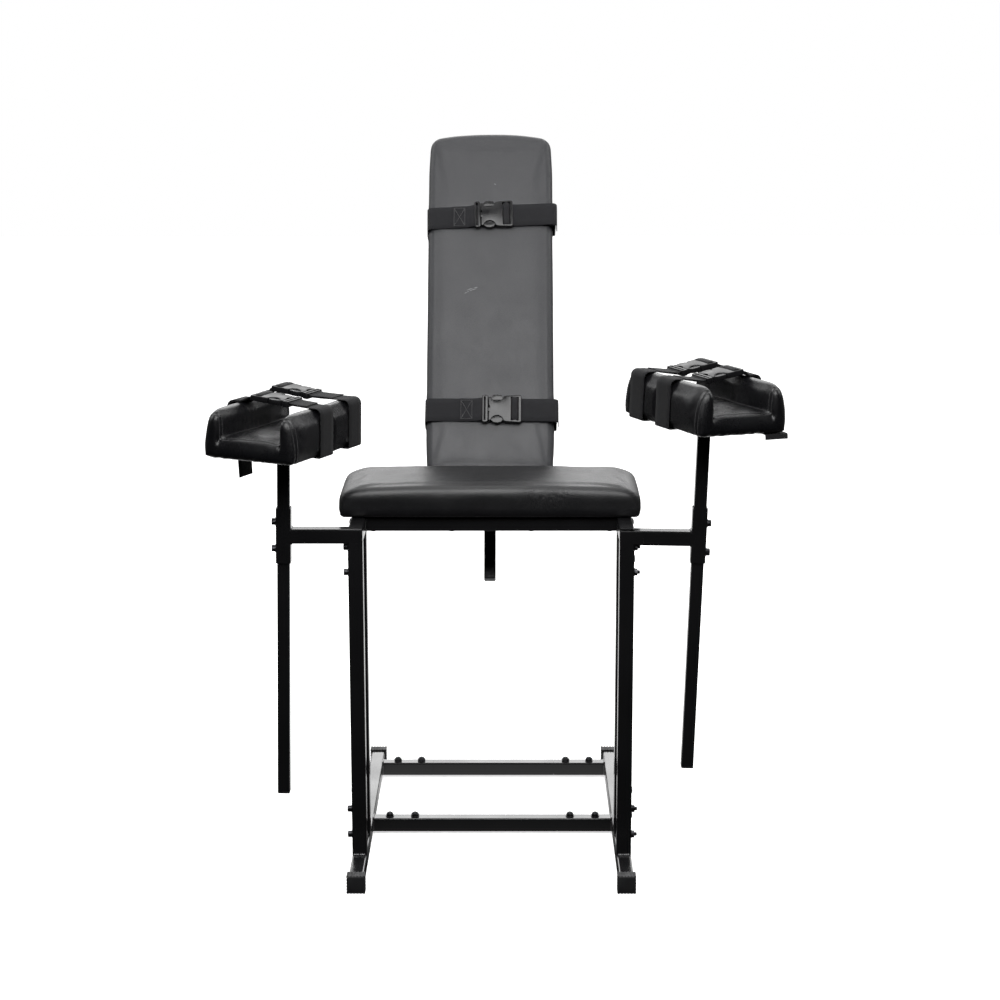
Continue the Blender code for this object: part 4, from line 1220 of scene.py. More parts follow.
# Back straps: round the pad and board, through the ladder on the right, sewn on the left.
# In the band's plane x runs across the pad and z away from the pad's face.
STAND = Matrix.Rotation(math.pi / 2, 4, "X")
for tag, s, xb, slope, _ in BACK_STRAPS:
    xm, xs_ = xb - BUCKLE_MID - MALE_L, xb - BUCKLE_MID + FEMALE_L
    lie = 0.0003 + WEB_T / 2
    yf, yr = FACE + lie, -(BACK_REAR + lie)
    x1 = BACK_HALF + lie
    zc = yf + 0.0067                       # middle of the buckle's thickness
    bar = xb - BUCKLE_MID                  # the parting line
    xr = x1 + 0.0040
    loop = [(xm - 0.050, yf + 0.0021), (xm - 0.014, yf + 0.0022, 0.02), (xm - 0.003, zc + 0.0010, 0.003), (bar - 0.0118, zc + 0.0012, 0.0012),
            (bar - 0.0088, zc - 0.0004, 0.0010), (bar - 0.0100, zc - 0.0034, 0.0016), (xm - 0.004, zc - 0.0046, 0.004), (xm - 0.016, yf, 0.02),
            (-x1, yf, 0.0125), (-x1 - 0.0006, yr, 0.0018), (xr, yr, 0.0018), (xr + 0.0006, yf + 0.0005, 0.013),
            (xs_ + 0.020, yf, 0.03), (xs_ - 0.0015, yf + 0.0006, 0.004), (bar + 0.0530, zc - 0.0052, 0.003), (bar + 0.0500, zc + 0.0005, 0.0015),
            (bar + 0.0520, zc + 0.0064, 0.0024), (bar + 0.0612, zc + 0.0064, 0.0024), (bar + 0.0640, zc + 0.0006, 0.0015),
            (bar + 0.0655, zc - 0.0030, 0.0015), (xs_ + 0.004, yf + 0.0026, 0.004), (xs_ + 0.022, yf + 0.0021, 0.03),
            (xr + 0.0030, yf + 0.0030, 0.011), (xr + 0.0044, yf - 0.034, 0.02)]
    path = rounded_path(loop, 0.003)
    shift = lambda p, d, k=math.tan(slope): k * p.x
    mesh = band(path, WEB_W, 0.0017, side_shift=shift, ripple=0.0006, seed=3 if tag == "lower" else 5)
    where = BACK @ Matrix.Translation((0, 0, s)) @ STAND
    # the band's Y must run up the pad: the stand turns Z to -Y and Y to Z
    piece("back_webbing_" + tag, mesh, where, "back_rest", WEB, ["back_strap_" + tag], angle=50)
    tilt = where @ Matrix.Rotation(slope, 4, "Z")
    seat_m = where @ Matrix.Translation((bar, math.tan(slope) * xb, zc)) @ Matrix.Rotation(slope, 4, "Z")
    piece("back_socket_" + tag, SOCKET.copy(), seat_m, "back_rest", PLASTIC, ["back_buckle_socket_" + tag], angle=40)
    piece("back_prongs_" + tag, PRONGS.copy(), seat_m, "back_rest", PLASTIC, ["back_buckle_prongs_" + tag], angle=40)
    stitches = box_stitch(None, xm - 0.046, xm - 0.022, 0.021, lambda x: yf + 0.0021 + 0.0009)
    m = joined(stitches)
    for v in m.vertices:
        v.co.y += math.tan(slope) * v.co.x
    piece("back_webbing_stitches_" + tag, m, where, "back_rest", THREAD, angle=50)

# Limb straps: round each rest, ladder on the outer side, sewn loop on the inner.
for tag in ("left", "right"):
    side, lean, yaw, rise = REST[tag]
    for name, ys, xb, zb, tip in REST_STRAPS[tag]:
        lie = 0.0006 + WEB_T / 2
        w, hh, r = REST_W / 2 + 0.0003, REST_H + 0.0003, 0.0245
        # work mirrored for the left so that the socket is always towards +x here
        xc = xb * side
        along = Vector((math.cos(tip), math.sin(tip)))
        up = Vector((-along.y, along.x))
        mid = Vector((xc, zb))
        bar = mid - along * (BUCKLE_MID)   # parting line: the prongs lie towards -x
        bar = mid - along * ((FEMALE_L + MALE_L) / 2 - MALE_L)

        def at(a, u):
            q = bar + along * a + up * u
            return (q.x, q.y)

        inner_end, outer_end = at(-MALE_L, 0.0), at(FEMALE_L, 0.0)
        loop = []
        # sewn loop at the prongs: doubled webbing to the inner wall
        k1 = at(-MALE_L - 0.006, 0.0009)
        wall_in = (-(w - 0.020), hh + lie)
        dx, dz = wall_in[0] - k1[0], wall_in[1] - k1[1]
        lap = 0.72
        over = (k1[0] + dx * lap, k1[1] + dz * lap + 0.0010)
        loop += [over, (*at(-MALE_L - 0.005, 0.0016), 0.006), (*at(-0.0118, 0.0034), 0.0012), (*at(-0.0080, 0.0008), 0.0010),
                 (*at(-0.0100, -0.0030), 0.0014), (*at(-MALE_L - 0.007, -0.0010), 0.006)]
        top = hh + lie - 0.0006
        loop += [(-(w - 0.026), top - 0.0002, 0.012), (-(w + lie - 0.0003), top, r), (-(w + lie - 0.0003), -lie, 0.004), (w + lie - 0.0003, -lie, 0.004),
                 (w + lie - 0.0003, top, r), (w - 0.026, top - 0.0002, 0.012)]
        loop += [(*at(FEMALE_L + 0.006, -0.0026), 0.008), (*at(0.0535, -0.0052), 0.003), (*at(0.0500, 0.0004), 0.0015), (*at(0.0520, 0.0066), 0.0024),
                 (*at(0.0612, 0.0066), 0.0024), (*at(0.0640, 0.0006), 0.0015), (*at(0.0660, -0.0024), 0.0015), (*at(FEMALE_L + 0.005, -0.0006), 0.008)]
        loop.append((w - 0.025, top + 0.0020, 0.012))
        tail = {("left", "front"): [(w + lie + 0.0020, top + 0.0020, r), (w + lie + 0.0026, -0.003, 0.010), (w - 0.020, -0.016, 0.012),
                                   (w - 0.023, -0.057)],
                ("left", "rear"): [(w + lie + 0.0020, top + 0.0020, r), (w + lie + 0.0028, 0.045)],
                ("right", "front"): [(w + lie + 0.0020, top + 0.0020, r), (w + lie + 0.0026, 0.022)],
                ("right", "rear"): [(w + lie + 0.0020, top + 0.0020, r), (w + lie + 0.0028, 0.038)]}[(tag, name)]
        loop += tail
        path = rounded_path(loop, 0.003)
        mesh = band(path, WEB_W, 0.0017, ripple=0.0005, seed=len(name) * 2 + (0 if side > 0 else 9))
        flip = Matrix.Scale(side, 4, (1, 0, 0))
        mesh.transform(flip)
        if side < 0:
            mesh.flip_normals()
        where = HEAD[tag] @ Matrix.Translation((0, ys, 0))
        label = "%s_%s" % (name, tag)
        piece("rest_webbing_" + label, mesh, where, "rest_" + tag, REST_WEB_PAINTED_SHADE, ["rest_strap_" + label], angle=50)
        base = Matrix.Translation((bar.x * side, 0, bar.y)) @ Matrix.Rotation(-tip * side, 4, "Y")
        if side < 0:
            base = base @ Matrix.Rotation(math.pi, 4, "Z")
        seat_m = where @ base
        piece("rest_socket_" + label, SOCKET.copy(), seat_m, "rest_" + tag, REST_PLASTIC, ["rest_buckle_socket_" + label], angle=40)
        piece("rest_prongs_" + label, PRONGS.copy(), seat_m, "rest_" + tag, REST_PLASTIC, ["rest_buckle_prongs_" + label], angle=40)

# A loose strap end that peeks out under the outer front corner of the right rest.
loose = rounded_path([(0.050, -0.0016), (0.125, -0.0016, 0.02), (0.1420, -0.0020, 0.003), (0.1434, -0.0120)], 0.003)
piece("rest_webbing_end_right", band(loose, WEB_W, 0.0017, ripple=0.0004, seed=31),
      HEAD["right"] @ Matrix.Translation((0.0790, 0, 0)) @ Matrix.Rotation(-math.pi / 2, 4, "Z"), "rest_right", REST_WEB_PAINTED_SHADE, angle=50)

# ---------------------------------------------------------------- foot caps
def cap_mesh(y_face, inward):
    """Ribbed rubber cap. Its closed face is at y_face and it opens towards inward."""
    outline = []
    half, corner, ribs = 0.019, 0.0028, 5
    for quarter in range(4):
        a = quarter * math.pi / 2
        rot = Matrix.Rotation(a, 2)
        steps = 40
        for i in range(steps):
            t = -1 + 2 * i / steps
            x = t * (half - corner)
            groove = 0.0014 * (0.5 - 0.5 * math.cos(2 * math.pi * (t + 1) / 2 * ribs)) ** 0.7
            p = rot @ Vector((x, -(half - 0.0014) - (0.0014 - groove)))
            outline.append((p.x, p.y))
        for i in range(6):
            t = i / 6 * math.pi / 2
            p = rot @ Vector((half - corner + corner * math.sin(t), -(half - corner) - corner * math.cos(t)))
            outline.append((p.x, p.y))
    body = prism(outline, 0.0010, 0.026, 0.0)
    face = prism(fillet([(-0.0174, -0.0174, 0.003), (0.0174, -0.0174, 0.003), (0.0174, 0.0174, 0.003), (-0.0174, 0.0174, 0.003)], 5),
                 0.0, 0.004, 0.0011, 3)
    whole = boolean(body, [face], "UNION")
    hole = rounded_box((TUBE + 0.0006, TUBE + 0.0006, 0.05), 0.002, 2, (0, 0, 0.0038 + 0.025))
    whole = boolean(whole, [hole])
    # outline plane to x and z, depth to y
    m = Matrix(((1, 0, 0, 0), (0, 0, 1, 0), (0, 1, 0, 0), (0, 0, 0, 1)))
    if inward < 0:
        m = Matrix(((1, 0, 0, 0), (0, 0, -1, 0), (0, 1, 0, 0), (0, 0, 0, 1)))
    whole.transform(Matrix.Translation((0, y_face, 0.019)) @ m)
    bm2 = bmesh.new()
    bm2.from_mesh(whole)
    bmesh.ops.recalc_face_normals(bm2, faces=bm2.faces)
    bm2.to_mesh(whole)
    bm2.free()
    return whole


for tag, side in (("left", -1), ("right", 1)):
    for end, y, inward in (("front", 0.0, 1), ("rear", 0.826, -1)):
        n = "foot_cap_%s_%s" % (end, tag)
        piece("foot_pad_%s_%s" % (end, tag), cap_mesh(y, inward), CHAIR @ Matrix.Translation((side * SIDE_X, 0, 0)),
              "frame", RUBBER, [n], angle=42)

# ---------------------------------------------------------------- fasteners
def hexagon(af):
    r = af / math.sqrt(3)
    return [(r * math.cos(math.pi / 3 * i), r * math.sin(math.pi / 3 * i)) for i in range(6)]


def hex_head(af, h):
    """Hexagon with its outer corners turned down to a chamfer."""
    outline = fillet([(x, y, 0.0006) for x, y in hexagon(af)], 2)
    body = prism(outline, 0.0, h, 0.0003, 1)
    cone = lathe([(0, -0.001), (af * 0.62, -0.001), (af * 0.62, h - af * 0.085), (af * 0.47, h + 0.00001), (0, h + 0.00001)], 40)
    return boolean(body, [cone], "INTERSECT")


def cap_screw(d=0.013, h=0.008):
    """Socket head cap screw: chamfered cylinder with a hexagon socket."""
    c = 0.0009
    body = lathe([(0, 0), (d / 2 - 0.0004, 0), (d / 2, 0.0004), (d / 2, h - c), (d / 2 - c, h), (0, h)], 36)
    socket = prism(hexagon(0.0060), h - 0.0042, h + 0.01)
    return boolean(body, [socket])


def washer(d, hole, t):
    return lathe([(hole / 2, 0), (d / 2 - 0.0003, 0), (d / 2, 0.0003), (d / 2, t - 0.0003), (d / 2 - 0.0003, t), (hole / 2, t), (hole / 2, 0)], 36)


def thread_end(d, length, pitch=0.00125):
    """A bolt's threaded end: a helical ridge on a rod."""
    turns = int(length / pitch) + 1
    sides, per = 24, 4
    bm = bmesh.new()
    depth = 0.00038
    rows = []
    steps = int(length / pitch * per)
    for i in range(steps + 1):
        z = length * i / steps
        row = []
        for j in range(sides):
            a = 2 * math.pi * j / sides
            phase = (z / pitch - a / (2 * math.pi)) % 1.0
            r = d / 2 - depth * (1 - abs(2 * phase - 1))
            if z > length - 0.0008:
                r -= (z - (length - 0.0008)) * 0.7
            row.append(bm.verts.new((r * math.cos(a), r * math.sin(a), z)))
        rows.append(row)
    for a, b in zip(rows, rows[1:]):
        for j in range(sides):
            bm.faces.new((a[j], a[(j + 1) % sides], b[(j + 1) % sides], b[j]))
    bm.faces.new(list(reversed(rows[0])))
    bm.faces.new(rows[-1])
    return to_mesh(bm, "thread")


def dome(d, h, rim=0.001):
    prof = [(0, 0), (d / 2 - 0.0003, 0), (d / 2, rim * 0.5), (d / 2, rim)]
    for i in range(1, 9):
        t = i / 8 * math.pi / 2
        prof.append((d / 2 * math.cos(t) if i < 8 else 0.0, rim + (h - rim) * math.sin(t)))
    return lathe(prof, 36)


I4 = Matrix.Identity(4)
BOLT_HEAD = joined([(washer(0.0155, 0.0065, 0.0014), I4), (cap_screw(), Matrix.Translation((0, 0, 0.0013)))])
FLANGE_BOLT = joined([(washer(0.0175, 0.0065, 0.0016), I4), (hex_head(0.013, 0.0072), Matrix.Translation((0, 0, 0.0015)))])
NUT_END = joined([(washer(0.0165, 0.0075, 0.0014), I4), (hex_head(0.013, 0.0056), Matrix.Translation((0, 0, 0.0013))),
                  (thread_end(0.0078, 0.0108), Matrix.Translation((0, 0, 0.0010)))])
DOME_NUT = joined([(washer(0.0178, 0.0075, 0.0014), I4), (hex_head(0.0148, 0.0056), Matrix.Translation((0, 0, 0.0013))),
                   (dome(0.0128, 0.0042, 0.0006), Matrix.Translation((0, 0, 0.0064)))])
CARRIAGE = dome(0.0172, 0.0058, 0.0012)
PAN_HEAD = boolean(dome(0.0088, 0.0032, 0.0008), [rounded_box((0.0052, 0.0011, 0.004), 0, 1, (0, 0, 0.0032)),
                                                  rounded_box((0.0011, 0.0052, 0.004), 0, 1, (0, 0, 0.0032))])


def facing(at, direction, spin=0.0, frame_m=CHAIR):
    """A matrix at a point of the chair frame with local Z along direction."""
    z = Vector(direction).normalized()
    m = z.to_track_quat("Z", "Y").to_matrix().to_4x4()
    m.translation = Vector(at)
    return frame_m @ m @ Matrix.Rotation(spin, 4, "Z")


h = TUBE / 2
for tag, side in (("left", -1), ("right", 1)):
    for end, y in zip(("front", "rear"), UPRIGHT_Y):
        for label, z in (("a", 0.075), ("b", 0.130), ("c", 0.631), ("d", 0.683)):
            mesh = BOLT_HEAD if side < 0 else (NUT_END if end == "front" else FLANGE_BOLT)
            at = (side * (SIDE_X + h + 0.0001), y, z)
            piece("upright_bolt_%s_%s_%s" % (label, end, tag), mesh.copy(), facing(at, (side, 0, 0), rng.uniform(0, 1.0)), "frame", BOLT,
                  angle=30)
for end, y in zip(("front", "rear"), CROSS_Y):
    for i, x in enumerate((-0.2218, -0.1673, 0.1673, 0.2218)):
        piece("crossbar_bolt_%s_%d" % (end, i + 1), DOME_NUT.copy(), facing((x, y, 0.034 + 0.0001), (0, 0, 1), rng.uniform(0, 1.0)), "frame", BOLT,
              angle=30)
        piece("crossbar_bolt_under_%s_%d" % (end, i + 1), dome(0.0132, 0.0030, 0.0010), facing((x, y, 0.004 - 0.0001), (0, 0, -1)), "frame", BOLT,
              angle=30)
for tag, side in (("left", -1), ("right", 1)):
    piece("rail_bolt_" + tag, CARRIAGE.copy(), facing((side * (SIDE_X + h + 0.0001), 0.262, 0.707), (side, 0, 0)), "frame", BOLT,
          angle=30)
for i, x in enumerate((-0.243, -0.082, 0.082, 0.243)):
    piece("seat_screw_front_%d" % (i + 1), dome(0.0120, 0.0034, 0.0010), facing((x, UPRIGHT_Y[1], RAIL_Z - 0.0001), (0, 0, -1)), "frame", BOLT,
          angle=30)
for i, x in enumerate((-0.200, 0.200)):
    piece("seat_screw_rear_%d" % (i + 1), dome(0.0120, 0.0034, 0.0010), facing((x, 0.479, RAIL_Z - 0.0001), (0, 0, -1)), "frame", BOLT,
          angle=30)
for tag in ("left", "right"):
    side = REST[tag][0]
    for label, dz in zip(("lower", "upper"), CLAMP_Z[tag]):
        m = SLEEVE_M[tag] @ Matrix.Translation((side * (h + 0.0003), 0, dz)) @ Vector((side, 0, 0)).to_track_quat("Z", "Y").to_matrix().to_4x4()
        piece("sleeve_bolt_%s_%s" % (label, tag), FLANGE_BOLT.copy(), m @ Matrix.Rotation(rng.uniform(0, 1), 4, "Z"), "frame", BOLT,
              ["rest_clamp_bolt_%s_%s" % (label, tag)], angle=30)
    for i, (x, y) in enumerate(((-0.048, -0.0535), (0.048, -0.0535), (-0.048, 0.0255), (0.048, 0.0255))):
        m = HEAD[tag] @ Matrix.Translation((x, y, -0.0072 - 0.0001)) @ Matrix.Rotation(math.pi, 4, "X")
        piece("plate_screw_%d_%s" % (i + 1, tag), PAN_HEAD.copy(), m, "rest_" + tag, BOLT, angle=30)
for label, s in zip(("lower", "upper"), (-0.052, -0.012)):
    m = BACK @ Matrix.Translation((0, h + 0.0003, s)) @ Matrix.Rotation(-math.pi / 2, 4, "X")
    piece("back_sleeve_bolt_" + label, FLANGE_BOLT.copy(), m, "frame", BOLT, ["back_clamp_bolt_" + label], angle=30)
for label, s in (("lower", 0.250), ("upper", 0.375)):
    for i, x in enumerate((-0.060, 0.060)):
        m = BACK @ Matrix.Translation((x, -POST / 2 - 0.0003 + 0.0001, s)) @ Matrix.Rotation(-math.pi / 2, 4, "X")
        piece("bracket_screw_%s_%d" % (label, i + 1), PAN_HEAD.copy(), m, "back_rest", BOLT, angle=30)

# ------------------------------------------------------------------- welds
def weld_line(points, radius=0.0026, seed=0):
    """A hand-run bead: overlapping puddles along the line."""
    line = even([Vector(p) for p in points], 0.0009)
    bm = bmesh.new()
    rings, sides = [], 10
    n = len(line)
    for i, p in enumerate(line):
        a, b = line[max(i - 1, 0)], line[min(i + 1, n - 1)]
        d = (b - a).normalized()
        up = Vector((0, 0, 1)) if abs(d.z) < 0.9 else Vector((0, 1, 0))
        x = d.cross(up).normalized()
        y = d.cross(x).normalized()
        s = i * 0.0009
        lobe = abs(math.sin(math.pi * s / 0.0042 + seed))
        r = radius * (0.74 + 0.34 * lobe ** 0.6 + 0.12 * noise.noise(Vector((s * 160.0, seed * 2.3, 0.0))))
        if i < 2 or i > n - 3:
            r *= 0.6
        rings.append([bm.verts.new(p + (x * math.cos(2 * math.pi * j / sides) + y * math.sin(2 * math.pi * j / sides)) * r)
                      for j in range(sides)])
    for a, b in zip(rings, rings[1:]):
        for j in range(sides):
            bm.faces.new((a[j], a[(j + 1) % sides], b[(j + 1) % sides], b[j]))
    bm.faces.new(list(reversed(rings[0])))
    bm.faces.new(rings[-1])
    bmesh.ops.recalc_face_normals(bm, faces=bm.faces)
    return to_mesh(bm, "weld")


for tag, side in (("left", -1), ("right", 1)):
    beads = []
    x = side * SIDE_X
    z1 = 0.034
    e = h - 0.002
    for k, y in enumerate(UPRIGHT_Y):
        beads.append((weld_line([(x - e, y - h - 0.0002, z1 + 0.0004), (x + e, y - h - 0.0002, z1 + 0.0006)], 0.0036, k), I4))
        beads.append((weld_line([(x - e, y + h + 0.0002, z1 + 0.0004), (x + e, y + h + 0.0002, z1 + 0.0006)], 0.0036, k + 4), I4))
    for k, y in enumerate(CROSS_Y):
        xi = side * (SIDE_X - h - 0.0002)
        beads.append((weld_line([(xi, y - e, z1 + 0.0002), (xi, y + e, z1 + 0.0002)], 0.0020, k + 7), I4))
        beads.append((weld_line([(xi, y - h - 0.0002, 0.007), (xi, y - h - 0.0002, 0.031)], 0.0020, k + 11), I4))
        beads.append((weld_line([(xi, y + h + 0.0002, 0.007), (xi, y + h + 0.0002, 0.031)], 0.0020, k + 13), I4))
    # stubs to the rail, arm to the sleeve
    for k, y in enumerate(UPRIGHT_Y[1:]):
        beads.append((weld_line([(x - e, y - h - 0.0002, RAIL_Z - 0.0002), (x + e, y - h - 0.0002, RAIL_Z - 0.0002)], 0.0019, k + 17), I4))
        beads.append((weld_line([(x - e, y + h + 0.0002, RAIL_Z - 0.0002), (x + e, y + h + 0.0002, RAIL_Z - 0.0002)], 0.0019, k + 19), I4))
    xs_ = side * (REST_X - h - 0.0004)
    za, zb_ = RAIL_Z - (0.003 if side > 0 else 0.0), RAIL_TOP - (0.003 if side > 0 else 0.0)
    if side > 0:
        za, zb_ = za - 0.0018, zb_ - 0.0018
    beads.append((weld_line([(xs_, REST_Y - h + 0.003, zb_ + 0.0002), (xs_, REST_Y + h - 0.003, zb_ + 0.0002)], 0.0021, 23), I4))
    beads.append((weld_line([(xs_, REST_Y - h + 0.003, za - 0.0002), (xs_, REST_Y + h - 0.003, za - 0.0002)], 0.0021, 29), I4))
    piece("weld_beads_" + tag, joined(beads), CHAIR, "frame", WELD, angle=60)

# --------------------------------------------- stapled hem under the back pad
def hem_ring(x0, x1, y0, y1, width, seed):
    """The cover turned over the board's edge: a thin ring with a wavy inner edge."""
    outer = fillet([(x0, y0, 0.006), (x1, y0, 0.006), (x1, y1, 0.006), (x0, y1, 0.006)], 4)
    dense = even([Vector((x, y, 0)) for x, y in outer + [outer[0]]], 0.004)
    cx, cy = (x0 + x1) / 2, (y0 + y1) / 2
    bm = bmesh.new()
    rings = [[], [], [], []]
    for i, p in enumerate(dense):
        u, v = (p.x - cx) / ((x1 - x0) / 2), (p.y - cy) / ((y1 - y0) / 2)
        w = width * (1.0 + 0.16 * noise.noise(Vector((p.x * 40.0, p.y * 40.0, seed))))
        q = Vector((p.x - math.copysign(min(w, abs(p.x - cx)) * ramp(abs(u), 0.5, 1.0), u) if abs(u) > abs(v) * 0.0 and abs(p.x - cx) > (x1 - x0) / 2 - 0.0075 else p.x,
                    p.y - math.copysign(min(w, abs(p.y - cy)), v) if abs(p.y - cy) > (y1 - y0) / 2 - 0.0075 else p.y, 0))
        rise = 0.0003 + 0.0004 * abs(noise.noise(Vector((p.x * 90.0, p.y * 90.0, seed + 4))))
        rings[0].append(bm.verts.new((p.x, p.y, 0.0)))
        rings[1].append(bm.verts.new((p.x * 0.999, p.y * 0.999, 0.0012 + rise)))
        rings[2].append(bm.verts.new((q.x, q.y, 0.0010 + rise)))
        rings[3].append(bm.verts.new((q.x, q.y, 0.0)))
    n = len(dense)
    for a in range(4):
        b = (a + 1) % 4
        for i in range(n):
            j = (i + 1) % n
            bm.faces.new((rings[a][i], rings[a][j], rings[b][j], rings[b][i]))
    bmesh.ops.remove_doubles(bm, verts=bm.verts, dist=1e-5)
    bmesh.ops.recalc_face_normals(bm, faces=bm.faces)
    return to_mesh(bm, "hem")


def staples(x0, x1, y0, y1, inset, step):
    out = []
    mesh = joined([(capsule(0.0100, 0.00055), I4)])
    corners = [(x0 + inset, y0 + inset), (x1 - inset, y0 + inset), (x1 - inset, y1 - inset), (x0 + inset, y1 - inset), (x0 + inset, y0 + inset)]
    for (ax, ay), (bx, by) in zip(corners, corners[1:]):
        length = math.hypot(bx - ax, by - ay)
        n = max(2, int(length / step))
        for i in range(n):
            t = (i + 0.5) / n
            p = Vector((ax + (bx - ax) * t + rng.uniform(-0.002, 0.002), ay + (by - ay) * t + rng.uniform(-0.002, 0.002), 0.0022))
            out.append((mesh, Matrix.Translation(p) @ Matrix.Rotation(math.atan2(by - ay, bx - ax) + rng.uniform(-0.25, 0.25), 4, "Z")))
    return out


STEEL = Look("staple_steel", rough=0.35, metal=1.0, colour=(0.42, 0.42, 0.43))
STEEL.set("Base Color", STEEL.mix(STEEL.noise(600.0, 3.0), (0.30, 0.30, 0.31), (0.52, 0.52, 0.53)))
STEEL.set("Roughness", STEEL.span(STEEL.noise(900.0, 2.0), 0.3, 0.7, 0.28, 0.48))
STEEL = STEEL.m

# back: the board's rear face is at y=BACK_REAR in the back frame
flip_y = BACK @ Matrix.Translation((0, BACK_REAR + 0.0001, 0)) @ Matrix.Rotation(-math.pi / 2, 4, "X")
# in this plane x is across and y runs down the recline (z -> -y)
y0, y1 = -(BACK_S[1] - 0.006), -(BACK_S[0] + 0.006)
piece("back_hem", hem_ring(-BACK_HALF + 0.006, BACK_HALF - 0.006, y0, y1, 0.030, 2.0), flip_y, "back_rest", WELT, angle=60)
piece("back_staples", joined(staples(-BACK_HALF + 0.006, BACK_HALF - 0.006, y0, y1, 0.022, 0.034)), flip_y, "back_rest", STEEL,
      angle=60)

# ------------------------------------------------------ carried-over nodes
for name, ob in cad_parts.items():
    if ob.hide_render:
        continue
    if "board" in name:
        look = WOOD
    elif "plug" in name:
        look = PLUG
    elif "bolt" in name:
        look = BOLT
    elif "strap" in name:
        look = WEB
    elif "buckle" in name:
        look = PLASTIC
    elif "cap" in name:
        look = RUBBER
    else:
        look = POWDER
    ob.data.materials.clear()
    ob.data.materials.append(look)

# ------------------------------------------------------------ floor, light
def pale_floor():
    """Pale seamless paper: lit by the lights near the chair, fading to plain white away from it."""
    m = bpy.data.materials.new("pale_floor")
    m.use_nodes = True
    t = m.node_tree
    for n in list(t.nodes):
        t.nodes.remove(n)

    def math_node(op, a, b=0.0):
        n = t.nodes.new("ShaderNodeMath")
        n.operation = op
        for i, v in enumerate((a, b)):
            if hasattr(v, "is_output"):
                t.links.new(v, n.inputs[i])
            else:
                n.inputs[i].default_value = v
        return n.outputs[0]

    def span(v, a, b, c, d):
        n = t.nodes.new("ShaderNodeMapRange")
        n.interpolation_type = "SMOOTHSTEP"
        t.links.new(v, n.inputs["Value"])
        for key, x in (("From Min", a), ("From Max", b), ("To Min", c), ("To Max", d)):
            n.inputs[key].default_value = x
        return n.outputs["Result"]

    out = t.nodes.new("ShaderNodeOutputMaterial")
    tc = t.nodes.new("ShaderNodeTexCoord")
    split = t.nodes.new("ShaderNodeSeparateXYZ")
    t.links.new(tc.outputs["Object"], split.inputs[0])
    x, y = split.outputs[0], split.outputs[1]
    radius = math_node("SQRT", math_node("ADD", math_node("MULTIPLY", x, x), math_node("MULTIPLY", y, y)))
    path = t.nodes.new("ShaderNodeLightPath")
    grain = t.nodes.new("ShaderNodeTexNoise")
    grain.inputs["Scale"].default_value = 900.0
    t.links.new(tc.outputs["Object"], grain.inputs["Vector"])

    seen = t.nodes.new("ShaderNodeBsdfDiffuse")
    seen.inputs["Color"].default_value = (0.90, 0.90, 0.90, 1)
    bump = t.nodes.new("ShaderNodeBump")
    bump.inputs["Distance"].default_value = 0.0001
    t.links.new(grain.outputs["Fac"], bump.inputs["Height"])
    t.links.new(bump.outputs["Normal"], seen.inputs["Normal"])
    glow = t.nodes.new("ShaderNodeEmission")
    glow.inputs["Color"].default_value = (1, 1, 1, 1)
    t.links.new(span(radius, 0.7, 1.5, FLOOR_NEAR, 1.0), glow.inputs["Strength"])
    both = t.nodes.new("ShaderNodeAddShader")
    t.links.new(seen.outputs[0], both.inputs[0])
    t.links.new(glow.outputs[0], both.inputs[1])

    # what the chair sees of the floor: bright behind it, dim in front
    unseen = t.nodes.new("ShaderNodeEmission")
    unseen.inputs["Color"].default_value = (1, 1, 1, 1)
    t.links.new(math_node("MULTIPLY", span(y, -0.35, 0.65, 0.004, 1.15), span(math_node("ABSOLUTE", x), 0.9, 2.4, 1.0, 0.12)), unseen.inputs["Strength"])
    pick = t.nodes.new("ShaderNodeMixShader")
    t.links.new(path.outputs["Is Camera Ray"], pick.inputs[0])
    t.links.new(unseen.outputs[0], pick.inputs[1])
    t.links.new(both.outputs[0], pick.inputs[2])
    t.links.new(pick.outputs[0], out.inputs[0])
    return m


FLOOR_NEAR = 0.62
bm = bmesh.new()
bmesh.ops.create_grid(bm, x_segments=1, y_segments=1, size=14.0)
floor_mesh = to_mesh(bm, "floor")
floor = bpy.data.objects.new("floor", floor_mesh)
floor.location = (0, 0, -0.0002)
scene.collection.objects.link(floor)
floor_mesh.materials.append(pale_floor())

world = bpy.data.worlds.new("studio")
scene.world = world
world.use_nodes = True
wt = world.node_tree
for n in list(wt.nodes):
    wt.nodes.remove(n)
out = wt.nodes.new("ShaderNodeOutputWorld")
coords = wt.nodes.new("ShaderNodeTexCoord")
split = wt.nodes.new("ShaderNodeSeparateXYZ")
wt.links.new(coords.outputs["Generated"], split.inputs[0])


def wmath(op, a, b=0.0):
    n = wt.nodes.new("ShaderNodeMath")
    n.operation = op
    for i, v in enumerate((a, b)):
        if hasattr(v, "is_output"):
            wt.links.new(v, n.inputs[i])
        else:
            n.inputs[i].default_value = v
    return n.outputs[0]


def wspan(v, a, b, c, d):
    n = wt.nodes.new("ShaderNodeMapRange")
    n.interpolation_type = "SMOOTHSTEP"
    wt.links.new(v, n.inputs["Value"])
    for key, x in (("From Min", a), ("From Max", b), ("To Min", c), ("To Max", d)):
        n.inputs[key].default_value = x
    return n.outputs["Result"]


# bright wall behind the chair and at its sides, dim room in front of it
rear = wspan(split.outputs["Y"], -0.30, 0.55, 0.004, 1.0)
side_glow = wspan(wmath("ABSOLUTE", split.outputs["X"]), 0.70, 0.98, 0.0, 0.8)
glow = wmath("MAXIMUM", rear, side_glow)
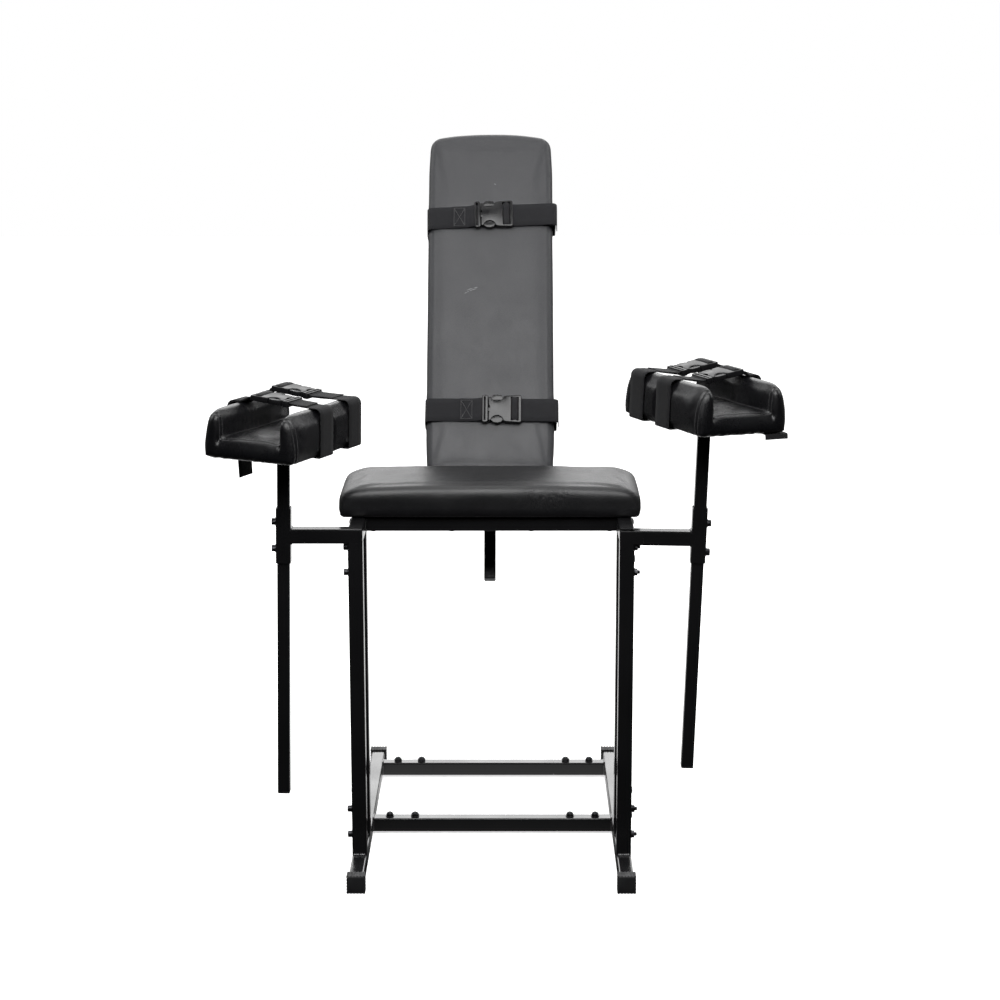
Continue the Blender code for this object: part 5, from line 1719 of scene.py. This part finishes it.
# the wall is brightest a little above the horizon straight behind, and darker to the sides
across = wmath("ABSOLUTE", split.outputs["X"])
glow = wmath("MULTIPLY", glow, wspan(across, 0.35, 0.75, 1.0, 0.10))
glow = wmath("MULTIPLY", glow, wspan(split.outputs["Z"], 0.11, 0.26, 0.36, 1.0))
band_up = wmath("MULTIPLY", wspan(split.outputs["Z"], 0.225, 0.31, 0.0, 1.0), wspan(split.outputs["Z"], 0.45, 0.75, 1.0, 0.0))
band_up = wmath("MULTIPLY", band_up, wspan(across, 0.25, 0.55, 1.0, 0.0))
glow = wmath("MULTIPLY", glow, wmath("ADD", wmath("MULTIPLY", band_up, 2.5), 1.0))
light_path = wt.nodes.new("ShaderNodeLightPath")
room = wt.nodes.new("ShaderNodeBackground")
room.inputs["Color"].default_value = (1, 1, 1, 1)
wt.links.new(wmath("MULTIPLY", glow, 1.12), room.inputs["Strength"])
seen = wt.nodes.new("ShaderNodeBackground")
seen.inputs["Color"].default_value = (1, 1, 1, 1)
seen.inputs["Strength"].default_value = 1.0
mixer = wt.nodes.new("ShaderNodeMixShader")
wt.links.new(light_path.outputs["Is Camera Ray"], mixer.inputs[0])
wt.links.new(room.outputs[0], mixer.inputs[1])
wt.links.new(seen.outputs[0], mixer.inputs[2])
wt.links.new(mixer.outputs[0], out.inputs[0])


def area(name, at, towards, size, size_y, power, spread=180.0):
    light = bpy.data.lights.new(name, "AREA")
    light.shape = "RECTANGLE"
    light.size, light.size_y, light.energy = size, size_y, power
    light.spread = rad(spread)
    ob = bpy.data.objects.new(name, light)
    ob.location = at
    ob.rotation_euler = (Vector(towards) - Vector(at)).to_track_quat("-Z", "Y").to_euler()
    scene.collection.objects.link(ob)
    return ob


area("softbox_top", (0.0, 0.1, 3.6), (0, 0.15, 0.4), 3.0, 2.0, 30.0)
area("softbox_front", (0.0, -1.80, 2.60), (0, 0.15, 0.95), 2.3, 1.6, 96.0)
area("softbox_left", (-2.6, 0.9, 2.7), (0, 0.2, 1.0), 1.7, 1.7, 34.0)
area("softbox_right", (2.6, 0.9, 2.7), (0, 0.2, 1.0), 1.7, 1.7, 34.0)
